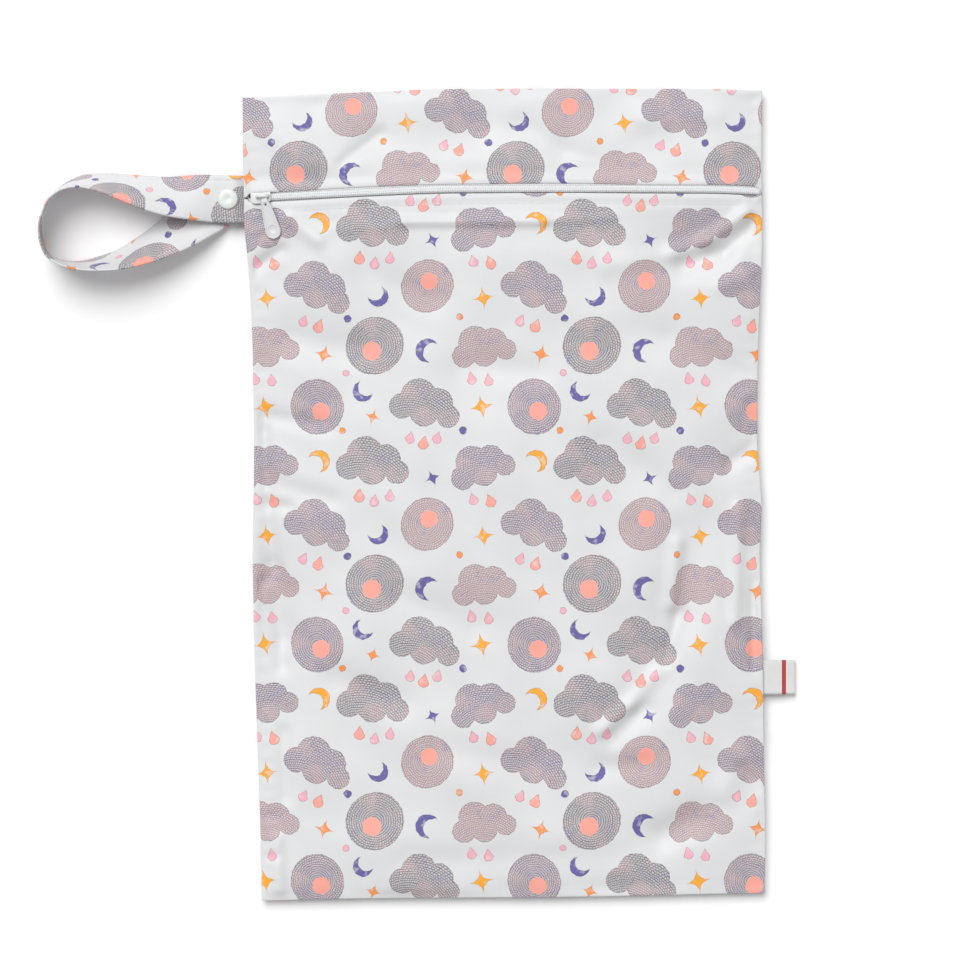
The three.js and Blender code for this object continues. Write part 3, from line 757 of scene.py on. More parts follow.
def flat_map(bm: BMesh, across: Array, up: Array) -> None:
    """Gives a mesh a UV map in metres of flat cloth."""
    layer = bm.loops.layers.uv.new("flat")
    bm.verts.index_update()
    for face in bm.faces:
        for loop in face.loops:
            index = loop.vert.index
            loop[layer].uv = (across[index], up[index])


def outward(bm: BMesh, direction: Vector) -> None:
    """Turns an open sheet so that its faces look along a direction on the whole."""
    bm.normal_update()
    total = sum((face.normal * face.calc_area() for face in bm.faces), Vector())
    if total.dot(direction) < 0:
        bmesh.ops.reverse_faces(bm, faces=bm.faces[:])


class Relief:
    """The outer surface of packed cloth nodes as smooth heights over the floor."""

    def __init__(
        self, nodes: Sequence[str], from_above: bool, step: float = 2 * MM, blur: float = 4 * MM,
    ) -> None:
        """Casts rays onto the nodes and smooths what they hit.

        Args:
            nodes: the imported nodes.
            from_above: whether the upper side is read.
            step: the distance between two rays.
            blur: how far the heights are smoothed.
        """
        points: list[Vector] = []
        faces: list[tuple[int, ...]] = []
        for node in nodes:
            mesh = frame["nodes"][node].data
            start = len(points)
            points += [vertex.co.copy() for vertex in mesh.vertices]
            faces += [tuple(start + index for index in polygon.vertices) for polygon in mesh.polygons]
        tree = BVHTree.FromPolygons(points, faces)
        low = np.min([point[:] for point in points], axis=0)
        high = np.max([point[:] for point in points], axis=0)
        margin = 6 * MM
        self.step = step
        self.low = low[:2] - margin
        counts = np.ceil((high[:2] + margin - self.low) / step).astype(int) + 1
        heights = np.zeros(counts)
        start_z = high[2] + 20 * MM if from_above else low[2] - 20 * MM
        ray = Vector((0, 0, -1 if from_above else 1))
        for i in range(counts[0]):
            for j in range(counts[1]):
                x, y = self.low + np.array((i, j)) * step
                hit = tree.ray_cast(Vector((x, y, start_z)), ray)[0]
                if hit is None:
                    near_z = high[2] if from_above else low[2]
                    hit = tree.find_nearest(Vector((x, y, near_z)))[0]
                heights[i, j] = hit.z
        self.heights = self.smoothed(heights, blur / step)

    @staticmethod
    def smoothed(heights: Array, cells: float) -> Array:
        """Heights blurred by a bell curve of some cells."""
        reach = int(math.ceil(cells * 3))
        bell = np.exp(-0.5 * (np.arange(-reach, reach + 1) / cells) ** 2)
        bell /= bell.sum()
        for axis in (0, 1):
            padded = np.pad(heights, [(reach, reach) if a == axis else (0, 0) for a in (0, 1)], mode="edge")
            heights = np.apply_along_axis(lambda line: np.convolve(line, bell, mode="valid"), axis, padded)
        return heights

    def at(self, x: Array, y: Array) -> Array:
        """Heights at places, between the four nearest rays."""
        i = np.clip((x - self.low[0]) / self.step, 0, self.heights.shape[0] - 1.001)
        j = np.clip((y - self.low[1]) / self.step, 0, self.heights.shape[1] - 1.001)
        i0, j0 = i.astype(int), j.astype(int)
        a, b = i - i0, j - j0
        h = self.heights
        return (h[i0, j0] * (1 - a) * (1 - b) + h[i0 + 1, j0] * a * (1 - b)
                + h[i0, j0 + 1] * (1 - a) * b + h[i0 + 1, j0 + 1] * a * b)


class Outline:
    """The bag's four edges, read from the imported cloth."""

    def __init__(self, bins: int = 40) -> None:
        """Finds the outermost points in bins along each edge.

        Args:
            bins: how many bins lie along a side edge. An end edge has half as many.
        """
        names = ("front_panel", "top_band", *BACK_NODES)
        points = np.array([v.co[:2] for n in names for v in frame["nodes"][n].data.vertices])
        self.low, self.high = points.min(axis=0), points.max(axis=0)
        self.left = self.edge(points, 1, 0, np.argmin, bins)
        self.right = self.edge(points, 1, 0, np.argmax, bins)
        self.bottom = self.edge(points, 0, 1, np.argmin, bins // 2)
        self.top = self.edge(points, 0, 1, np.argmax, bins // 2)

    @staticmethod
    def edge(points: Array, along: int, across: int, pick: Callable, bins: int) -> Array:
        """One edge as rows of a place along it and its place across."""
        start, end = points[:, along].min(), points[:, along].max()
        step = (end - start) / bins
        rows = []
        for centre in np.linspace(start, end, bins + 1):
            near = points[np.abs(points[:, along] - centre) <= step * 0.75]
            if len(near):
                best = near[pick(near[:, across])]
                rows.append((best[along], best[across]))
        return np.array(sorted(set(rows)))

    def sides(self, y: Array) -> tuple[Array, Array]:
        """The X of the left and the right edge."""
        return np.interp(y, *self.left.T), np.interp(y, *self.right.T)

    def bottom_at(self, x: Array) -> Array:
        """The Y of the bottom edge."""
        return np.interp(x, *self.bottom.T)

    def top_at(self, x: Array) -> Array:
        """The Y of the top edge."""
        return np.interp(x, *self.top.T)

    def from_sides(self, x: Array, y: Array) -> Array:
        """How far places are from the nearer side edge."""
        left, right = self.sides(y)
        return np.minimum(x - left, right - x)

    def from_edges(self, x: Array, y: Array) -> Array:
        """How far places are from the nearest edge."""
        from_ends = np.minimum(self.top_at(x) - y, y - self.bottom_at(x))
        return np.minimum(self.from_sides(x, y), from_ends)

    def plan(self, u: Array, v: Array) -> tuple[Array, Array]:
        """Places in the bag's plan.

        Args:
            u: shares across, from 0 at the left edge.
            v: shares up, from 0 at the bottom edge.

        Returns:
            Their X and Y.
        """
        return self.between(self.bottom_at, self.top_at, 0.0, 1.0)(u, v)

    def between(self, low: Callable, high: Callable, first: float, last: float) -> Callable:
        """The plan of a sheet between two lines across the bag.

        Args:
            low: from X to the lower line's Y.
            high: from X to the upper line's Y.
            first: about how far up the bag the lower line is, as a share.
            last: about how far up the upper line is.

        Returns:
            From shares across and up the sheet to X and Y.
        """
        def plan(u: Array, v: Array) -> tuple[Array, Array]:
            """X and Y at shares."""
            y = self.low[1] + (self.high[1] - self.low[1]) * (first + (last - first) * v)
            for _ in range(6):
                left, right = self.sides(y)
                x = left + (right - left) * u
                y = low(x) + (high(x) - low(x)) * v
            return x, y
        return plan


class ZipLine:
    """Where the zip runs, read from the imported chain."""

    def __init__(self) -> None:
        """Finds the chain's middle and top along X."""
        points = np.array([v.co[:] for v in frame["nodes"]["zip_chain"].data.vertices])
        rows = []
        for x in np.unique(points[:, 0].round(4)):
            ring = points[np.abs(points[:, 0] - x) < 1.2 * MM]
            rows.append((x, (ring[:, 1].min() + ring[:, 1].max()) / 2, ring[:, 2].max()))
        self.rows = np.array(rows)
        self.start, self.end = self.rows[0, 0], self.rows[-1, 0]

    def middle(self, x: Array | float) -> Array | float:
        """The Y of the chain's middle."""
        return np.interp(x, self.rows[:, 0], self.rows[:, 1])

    def top(self, x: Array | float) -> Array | float:
        """The Z of the chain's top."""
        return np.interp(x, self.rows[:, 0], self.rows[:, 2])

    def axes(self, x: float) -> Matrix:
        """A frame on the chain's top at X, with its own X along the zip."""
        span = 2 * MM
        here, ahead, back = (Vector((at, self.middle(at), self.top(at))) for at in (x, x + span, x - span))
        return axes_at(here, (ahead - back).normalized())


@dataclass(frozen=True)
class Crease:
    """A fold or dent in the front cloth: its two ends, its depth, its reach and its lip to one side."""

    x0: float
    y0: float
    x1: float
    y1: float
    depth: float
    reach: float
    lip: float = 0.0

    def height(self, x: Array, y: Array) -> Array:
        """What it adds to the cloth's height at places."""
        run = np.array((self.x1 - self.x0, self.y1 - self.y0)) * MM
        length = np.hypot(*run)
        dx, dy = x - self.x0 * MM, y - self.y0 * MM
        t = np.clip((dx * run[0] + dy * run[1]) / length ** 2, 0, 1)
        away = np.hypot(dx - t * run[0], dy - t * run[1]) / (self.reach * MM)
        side = (dx * run[1] - dy * run[0]) / length / (self.reach * MM)
        bell = np.exp(-away ** 2)
        return (self.depth + self.lip * side) * MM * bell


def smooth(value: Array, low: float, high: float) -> Array:
    """A smooth step from 0 at low to 1 at high."""
    t = np.clip((value - low) / (high - low), 0, 1)
    return t * t * (3 - 2 * t)


def bell(value: Array, centre: float, reach: float) -> Array:
    """A bell curve of height 1 round a centre."""
    return np.exp(-((value - centre) / reach) ** 2)


def puckers(along: Array, pitch: float, wander: float, span: float) -> Array:
    """A wave of -1 to 1 along a seam, whose pitch wanders over a span."""
    return np.sin(along / pitch * 2 * math.pi + wander * np.sin(along / span))


@dataclass(frozen=True)
class Ripple:
    """Soft seeded unevenness of cloth: the size of its features, its seed, its height and its slant."""

    size: float
    seed: float
    height: float
    slant: float = 0.0

    def at(self, x: Array, y: Array) -> Array:
        """What it adds to the cloth's height at places."""
        places = zip(x / self.size, (y + self.slant * x) / self.size)
        return self.height * np.array([noise.noise(Vector((a, b, self.seed))) for a, b in places])


@dataclass
class HemmedSheet:
    """A sheet of cloth whose four edges turn under, laid over a plan and a relief."""

    columns: int
    rows: int
    hem: float = 0.6 * MM
    tuck: float = 2.4 * MM
    turn_cells: int = 5
    side: int = 1

    def runs(self, count: int, ease: float = 0.0) -> tuple[Array, Array, Array]:
        """Shares from 0 to 1 with the cells of the turned edges before and after them.

        Args:
            count: how many cells lie between the two turned edges.
            ease: how much closer the cells are near both ends, from 0 to 1.

        Returns:
            The shares, and the lengths of cloth past the first and the last edge.
        """
        length = math.pi * self.hem + self.tuck
        turned = np.append(np.linspace(0, math.pi * self.hem, self.turn_cells + 1)[1:], length)
        even = np.linspace(0, 1, count + 1)
        inner = even * (1 - ease) + ease * (0.5 - 0.5 * np.cos(even * math.pi))
        shares = np.concatenate((np.zeros(len(turned)), inner, np.ones(len(turned))))
        before = np.concatenate((turned[::-1], np.zeros(count + 1 + len(turned))))
        after = np.concatenate((np.zeros(count + 1 + len(turned)), turned))
        return shares, before, after

    def wrap(self, past: Array) -> tuple[Array, Array]:
        """How far cloth past an edge reaches out, and how far it has dropped."""
        angle = np.clip(past / self.hem, 0, math.pi)
        back = np.maximum(past - math.pi * self.hem, 0)
        return self.hem * np.sin(angle) - back, self.hem * (1 - np.cos(angle))

    def build(self, plan: Callable, height: Callable, flat: tuple[float, float]) -> BMesh:
        """Makes the sheet.

        Args:
            plan: from shares across and up to X and Y of the sheet's outermost edge.
            height: from X and Y to the height of the outer surface.
            flat: where the print starts, in metres of flat cloth.

        Returns:
            The sheet's mesh, with its UV map.
        """
        us, left, right = self.runs(self.columns, 0.35)
        vs, down, up = self.runs(self.rows, 0.2)
        bm, column, row = grid(len(us) - 1, len(vs) - 1)
        u, v = us[column], vs[row]
        x, y = plan(u, v)
        shift_x = sum(sign * self.wrap(past[column])[0] for sign, past in ((-1, left), (1, right)))
        shift_y = sum(sign * self.wrap(past[row])[0] for sign, past in ((-1, down), (1, up)))
        pull_x = self.hem * (1 - 2 * u)
        pull_y = self.hem * (1 - 2 * v)
        drops = [self.wrap(past)[1] for past in (left[column], right[column], down[row], up[row])]
        drop = np.max(drops, axis=0)
        fx, fy = x + pull_x + shift_x, y + pull_y + shift_y
        z = height(x + pull_x, y + pull_y) - self.side * drop
        place_all(bm, np.column_stack((fx, fy, z)))
        flat_map(bm, x - left[column] + right[column] + flat[0], y - down[row] + up[row] + flat[1])
        outward(bm, Vector((0, 0, self.side)))
        return bm


def scatter(model: BMesh, places: Iterable[Matrix]) -> BMesh:
    """Copies of a small model at places, as one mesh.

    Args:
        model: the model's mesh, which is freed.
        places: where the copies go, which may mirror them.

    Returns:
        The mesh.
    """
    mesh = bpy.data.meshes.new("model")
    model.to_mesh(mesh)
    model.free()
    bm = bmesh.new()
    for place in places:
        verts, faces = len(bm.verts), len(bm.faces)
        bm.from_mesh(mesh)
        bm.verts.ensure_lookup_table()
        bm.faces.ensure_lookup_table()
        bmesh.ops.transform(bm, matrix=place, verts=bm.verts[verts:])
        if place.determinant() < 0:
            bmesh.ops.reverse_faces(bm, faces=bm.faces[faces:])
    bpy.data.meshes.remove(mesh)
    return bm


def stitches(places: Iterable[Matrix], length: float, width: float) -> BMesh:
    """One rounded stitch at each place, lying along its X."""
    model = bmesh.new()
    block(model, (length, width, width * 0.8), (0, 0, 0), width * 0.34, 2)
    return scatter(model, places)


@dataclass
class ClothBag:
    """The bag's three pieces of printed cloth."""

    finish: Material
    outline: Outline
    zip_line: ZipLine
    thread: Material
    wall: float = 0.45 * MM
    seam_fade: float = 7 * MM
    least_loft: float = 1.9 * MM
    tape_sink: float = 0.9 * MM
    tape_reach: float = 16 * MM
    soft_sink: float = 0.3 * MM
    slot_half: float = 3.0 * MM
    zip_up: float = 0.87
    band_lap: float = 0.9 * MM
    band_lift: float = 1.0 * MM
    slider_lift: float = 2.4 * MM
    lap_reach: float = 11 * MM
    stitch_from_fold: float = 6 * MM
    stitch_pitch: float = 3.2 * MM
    stitch_length: float = 2.3 * MM
    stitch_width: float = 0.36 * MM
    crease_depth: float = 1.2
    ripples: tuple[Ripple, ...] = (
        Ripple(56 * MM, 3.7, 2.7 * MM, 0.35),
        Ripple(27 * MM, 9.1, 1.15 * MM, 0.35),
        Ripple(12 * MM, 5.3, 0.2 * MM, 0.35),
        Ripple(6 * MM, 1.4, 0.05 * MM),
    )
    back_ripples: tuple[Ripple, ...] = (Ripple(30 * MM, 17.3, 0.5 * MM), Ripple(11 * MM, 2.9, 0.125 * MM))
    creases: tuple[Crease, ...] = (
        Crease(-97, 195, -75, 213, -1.56, 3.6),
        Crease(-70, 208, -20, 212, -2.34, 13),
        Crease(8, 217, 33, 202, -1.69, 8),
        Crease(33, 202, 62, 190, -1.1, 9),
        Crease(80, 221, 122, 224, 1.3, 7),
        Crease(-140, 214, -118, 196, 1.3, 8),
        Crease(-62, 159.4, 22, 159.8, 1.95, 2.9, -1.3),
        Crease(22, 159.8, 62, 162, 0.78, 3, -0.52),
        Crease(-62, 160, -104, 157, 0.52, 4, -0.39),
        Crease(140, 167, 117, 150, 2.6, 4, -1.3),
        Crease(117, 150, 97, 143, 2.21, 5, -1.04),
        Crease(97, 143, 60, 136, 1.43, 7, -0.78),
        Crease(147, 161, 128, 143, -1.95, 4),
        Crease(128, 143, 104, 134, -1.56, 5),
        Crease(146, 132, 126, 124, 1.3, 5, -0.52),
        Crease(-133, 144, -149, 133, -2.08, 3.8),
        Crease(-129, 161, -112, 149, 1.69, 5, -1.04),
        Crease(-150, 158, -139, 164, -0.91, 2.6),
        Crease(-149, 150, -138, 155, -0.78, 2.8),
        Crease(-112, 149, -92, 131, 0.91, 7, -0.39),
        Crease(-86, 132, -44, 116, -1.56, 9),
        Crease(-25, 76, 16, 73, -1.69, 10),
        Crease(58, 30, 95, 2, -1.95, 10),
        Crease(96, 92, 132, 74, -1.43, 9),
        Crease(-128, 92, -88, 84, -1.43, 9),
        Crease(-146, 47, -108, 41, -1.56, 5),
        Crease(-143, 38, -137, -40, -1.56, 5, -0.78),
        Crease(-137, -40, -131, -100, -1.43, 5, -0.78),
        Crease(-144, 9, -104, -3, -1.43, 6),
        Crease(-149, -5, -128, -7, -1.43, 3.5),
        Crease(-147, -54, -134, -44, -1.3, 3.5),
        Crease(-128, -55, -129, -85, -1.3, 5),
        Crease(-131, -140, -130, -178, -1.43, 4.5),
        Crease(-148, -190, -136, -188, -1.04, 3),
        Crease(-146, -214, -136, -212, -1.04, 3),
        Crease(-135, -203, -134, -234, 1.95, 4),
        Crease(-60, -60, -22, -78, -1.56, 10),
        Crease(-100, -108, -62, -122, -1.56, 9),
        Crease(-40, -150, 12, -158, -1.43, 10),
        Crease(136, -8, 134, -74, 1.82, 4),
        Crease(100, -28, 96, -64, 2.47, 4.6),
        Crease(101, -70, 93, -98, -2.47, 4),
        Crease(93, -98, 72, -122, 1.82, 5, -0.65),
        Crease(72, -122, 54, -138, 1.95, 4, -0.78),
        Crease(81, -126, 63, -144, -1.82, 5),
        Crease(56, -160, 82, -158, -1.56, 7),
        Crease(137, -158, 122, -185, 2.47, 9),
        Crease(122, -185, 92, -201, -2.6, 9),
        Crease(150, -174, 138, -160, -1.56, 3.5),
        Crease(146.5, -52, 145, -100, -1.56, 3),
        Crease(149, 30, 130, 18, -1.56, 4.5),
        Crease(150, 62, 139, 58, 1.17, 4, -0.39),
        Crease(-60, -214, 60, -213, -1.3, 9),
    )

    def __post_init__(self) -> None:
        """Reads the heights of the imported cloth."""
        self.front = Relief(("front_panel", "top_band"), from_above=True)
        self.back = Relief(BACK_NODES, from_above=False)

    def front_height(self, x: Array, y: Array) -> Array:
        """The height of the front cloth's outer surface, which keeps clear of the back and the tapes."""
        from_zip = np.abs(y - self.zip_line.middle(x))
        from_side = self.outline.from_sides(x, y)
        from_bottom = y - self.outline.bottom_at(x)
        packed = self.front.at(x, y)
        dents = sum(crease.height(x, y) for crease in self.creases) * self.crease_depth
        swells = sum(ripple.at(x, y) for ripple in self.ripples)
        relief = dents * smooth(from_zip, 4 * MM, 12 * MM) + swells * smooth(from_zip, 6 * MM, 18 * MM)
        height = packed + relief * smooth(self.outline.from_edges(x, y), 0, self.seam_fade)
        height = np.maximum(height, self.back.at(x, y) + self.least_loft)
        past_tape = smooth(from_zip, self.tape_reach, self.tape_reach + 10 * MM)
        over_tape = packed - self.tape_sink - 20 * MM * past_tape
        height = self.soft_sink * np.logaddexp(height / self.soft_sink, over_tape / self.soft_sink)
        seam = bell(from_side, 4 * MM, 6 * MM) * smooth(from_side, 0, 4 * MM)
        seam = seam * smooth(from_zip, 8 * MM, 20 * MM)
        height = height + 0.16 * MM * seam * puckers(y, 8.5 * MM, 2.2, 31 * MM)
        return height + 0.12 * MM * bell(from_bottom, 4 * MM, 6 * MM) * puckers(x, 9.5 * MM, 1.0, 40 * MM)

    def sewn(self, x: Array, from_fold: Array) -> Array:
        """The groove and the small puckers along a topstitched fold."""
        row = self.stitch_from_fold
        groove = -0.32 * MM * bell(from_fold, row, 1.1 * MM)
        swell = 0.22 * MM * bell(from_fold, row * 0.45, 2.2 * MM)
        return groove + swell + 0.12 * MM * bell(from_fold, row, 4 * MM) * puckers(x, 6.3 * MM, 1.7, 23 * MM)

    def by_slider(self, x: Array) -> Array:
        """How near a place along the zip is to the slider, from 0 to 1."""
        low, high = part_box("zip_slider")
        reach = (high.x - low.x) * 0.7
        return np.exp(-((x - (low.x + high.x) / 2) / reach) ** 4)

    def slot(self, x: Array) -> Array:
        """Half the space between the two folds, which close over the ends of the zip."""
        side = self.outline.from_sides(x, self.zip_line.middle(x))
        return self.slot_half * (0.3 + 0.7 * smooth(side, 0.6 * MM, 3.6 * MM))

    def lower_fold(self, x: Array) -> Array:
        """The Y of the fold under the zip."""
        wave = 0.12 * MM * np.sin(x / (17 * MM)) + 0.1 * MM * np.sin(x / (41 * MM) + 1)
        return self.zip_line.middle(x) - self.slot(x) - 0.2 * MM + wave

    def upper_fold(self, x: Array) -> Array:
        """The Y of the fold over the zip's upper half."""
        wave = 0.25 * MM * np.sin(x / (19 * MM)) + 0.2 * MM * np.sin(x / (47 * MM) + 2)
        return self.zip_line.middle(x) + self.slot(x) - self.band_lap * (1 - 0.5 * self.by_slider(x)) + wave

    def over_zip(self, x: Array, from_fold: Array, side: Array, slider: float) -> Array:
        """How far a fold is lifted by what it laps over: the chain, its ends and the slider."""
        near = 1 - smooth(from_fold, 0.5 * MM, self.lap_reach)
        chain = self.band_lift * smooth(side, 0.5 * MM, 3 * MM)
        return near * (chain + slider * self.by_slider(x) * smooth(side, 0, 4 * MM))

    def laid(
        self, name: str, bm: BMesh, nodes: Sequence[str],
    ) -> Object:
        """Makes a sheet a piece of the bag's cloth.

        Args:
            name: the piece's name.
            bm: the sheet's mesh.
            nodes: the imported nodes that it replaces.

        Returns:
            The cloth.
        """
        made = piece(name, bm, self.finish, "root")
        solidify(made, self.wall, -1)
        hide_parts(*nodes)
        return made

    def front_panel(self) -> Object:
        """The cloth below the zip."""
        def height(x: Array, y: Array) -> Array:
            """The cloth's height, closed over the right end of the zip."""
            from_fold = self.lower_fold(x) - y
            right = self.outline.sides(y)[1] - x
            lift = self.over_zip(x, from_fold, right, 0.0) * (1 - smooth(right, 1.2 * MM, 4 * MM))
            return self.front_height(x, y) + self.sewn(x, from_fold) + lift

        plan = self.outline.between(self.outline.bottom_at, self.lower_fold, 0.0, self.zip_up)
        bm = HemmedSheet(150, 200).build(plan, height, (0.0, 0.0))
        return self.laid("front_cloth", bm, ["front_panel"])

    def top_band(self) -> Object:
        """The cloth above the zip."""
        sheet = HemmedSheet(150, 30)

        def height(x: Array, y: Array) -> Array:
            """The cloth's height, lifted where it laps over the chain."""
            from_fold = y - self.upper_fold(x)
            side = self.outline.from_sides(x, y) - sheet.hem
            lift = self.over_zip(x, from_fold, side, self.slider_lift - self.band_lift)
            return self.front_height(x, y) + self.sewn(x, from_fold) + lift

        plan = self.outline.between(self.upper_fold, self.outline.top_at, self.zip_up, 1.0)
        bm = sheet.build(plan, height, (0.045, 0.037))
        return self.laid("band_cloth", bm, ["top_band"])

    def back_panel(self) -> Object:
        """The cloth behind, flat where it lies on the floor."""
        def height(x: Array, y: Array) -> Array:
            """The cloth's height, never under the floor."""
            wrinkle = np.maximum(sum(ripple.at(x, y) for ripple in self.back_ripples), 0)
            inside = smooth(self.outline.from_edges(x, y), 0, 12 * MM)
            return np.maximum(self.back.at(x, y), 0) + wrinkle * inside

        bm = HemmedSheet(110, 160, side=-1).build(self.outline.plan, height, (0.02, 0.06))
        return self.laid("back_cloth", bm, BACK_NODES)

    def topstitch(self, name: str, fold: Callable, away: int) -> Object:
        """A row of stitches beside a fold of the zip.

        Args:
            name: the piece's name.
            fold: from X to the fold's Y.
            away: 1 where the stitches lie above the fold, -1 below.

        Returns:
            The stitches, as one piece.
        """
        places = []
        for middle in np.arange(self.outline.low[0] + 7 * MM, self.outline.high[0] - 4 * MM, self.stitch_pitch):
            x = middle + np.array((-1.1, 1.1)) * MM
            y = fold(x) + away * self.stitch_from_fold
            z = self.front_height(x, y) + self.sewn(x, np.full(2, self.stitch_from_fold))
            back, ahead = (Vector(end) for end in zip(x, y, z))
            places.append(axes_at((back + ahead) / 2 + UP * 0.06 * MM, (ahead - back).normalized()))
        bm = stitches(places, self.stitch_length, self.stitch_width)
        return piece(name, bm, self.thread, "root")

    def build(self) -> list[Object]:
        """Makes the cloth and its topstitching."""
        return [
            self.front_panel(),
            self.top_band(),
            self.back_panel(),
            self.topstitch("stitches_below_zip", self.lower_fold, -1),
            self.topstitch("stitches_above_zip", self.upper_fold, 1),
        ]


@dataclass
class Zip:
    """The zip's tapes and its joined coil."""

    line: ZipLine
    coil: Material
    tape: Material
    thread: Material
    pitch: float = 1.27 * MM
    wire: float = 1.14 * MM
    reach: float = 2.6 * MM
    lap: float = 0.3 * MM
    depth: float = 2.0 * MM
    run_on: float = 1.8 * MM
    tooth_lean: float = 5
    thread_lean: float = 20
    core_wall: float = 0.3 * MM
    tape_wall: float = 0.45 * MM
    tape_inner: float = 0.16 * MM
    tape_outer: float = 15.4 * MM
    divider_at: float = 2.2 * MM
    divider_half: float = 2.6 * MM
    divider_room: float = 1.3 * MM

    def __post_init__(self) -> None:
        """Finds how long the coil is."""
        self.length = self.line.end + self.run_on - self.line.start

    def teeth(self) -> Object:
        """The two rows of turns of the coil, joined in the middle."""
        model = bmesh.new()
        size = (self.wire, self.reach + self.lap, self.depth)
        block(model, size, (0, (self.reach - self.lap) / 2, -self.depth / 2), self.wire * 0.3, 3)
        for vert in model.verts:
            from_middle = min(max(vert.co.y / self.reach, 0.0), 1.0)
            vert.co.x *= 0.66 + 0.34 * min(1.0, from_middle * 2)
            vert.co.z -= 0.5 * MM * from_middle ** 3
        places = []
        for index in range(int((self.length - self.pitch) / self.pitch) * 2):
            side = -1 if index % 2 else 1
            lean = Matrix.Rotation(math.radians(self.tooth_lean) * side, 4, "Z")
            axes = self.line.axes(self.line.start + self.pitch * (index + 1) / 2)
            places.append(axes @ lean @ Matrix.Diagonal((1, side, 1, 1)))
        made = piece("zip_teeth", scatter(model, places), self.coil, "root")
        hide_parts("zip_chain")
        return made

    def core(self) -> Object:
        """The cord inside each row of turns, which closes the view between them."""
        bm, column, row = grid(160, 4)
        x = self.line.start + self.length * column / column.max()
        aside = (row / row.max() * 2 - 1) * self.reach * 0.86
        z = self.line.top(x) - 0.32 * MM - 0.3 * MM * (aside / self.reach) ** 2
        place_all(bm, np.column_stack((x, self.line.middle(x) + aside, z)))
        flat_map(bm, x, aside)
        outward(bm, UP)
        made = piece("coil_core", bm, self.coil, "root")
        solidify(made, self.core_wall, -1)
        return made

    def coil_stitches(self) -> Object:
        """The threads that hold each row of turns on its tape."""
        places = []
        for side in (-1, 1):
            shift = Matrix.Translation((0, side * self.reach * 0.62, -0.06 * MM))
            lean = Matrix.Rotation(math.radians(self.thread_lean) * side, 4, "Z")
            for index in range(int(self.length / self.pitch) - 1):
                x = self.line.start + self.pitch * (index + 0.75)
                places.append(self.line.axes(x) @ shift @ lean)
        bm = stitches(places, 1.2 * MM, 0.3 * MM)
        return piece("coil_threads", bm, self.thread, "root")

    def tape_piece(self, node: str, side: int) -> Object:
        """One tape, under its fold, which leaves room for the slider's divider.

        Args:
            node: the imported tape.
            side: 1 above the chain, -1 below.

        Returns:
            The tape.
        """
        low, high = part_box(node)
        relief = Relief([node], from_above=True, step=3 * MM, blur=2 * MM)
        bm, column, row = grid(140, 8)
        x = low.x + (high.x - low.x) * column / column.max()
        away = self.tape_inner + (self.tape_outer - self.tape_inner) * row / row.max()
        from_divider = np.abs(x - (self.line.start - self.divider_at))
        away = np.maximum(away, self.divider_room * (from_divider < self.divider_half))
        y = self.line.middle(x) + side * away
        place_all(bm, np.column_stack((x, y, relief.at(x, y))))
        flat_map(bm, x, side * away)
        outward(bm, UP)
        made = piece(node + "_cloth", bm, self.tape, "root")
        solidify(made, self.tape_wall, -1)
        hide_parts(node)
        return made

    def build(self) -> list[Object]:
        """Makes the tapes, the coil and its threads."""
        return [
            self.tape_piece("tape_lower", -1),
            self.tape_piece("tape_upper", 1),
            self.teeth(),
            self.core(),
            self.coil_stitches(),
        ]


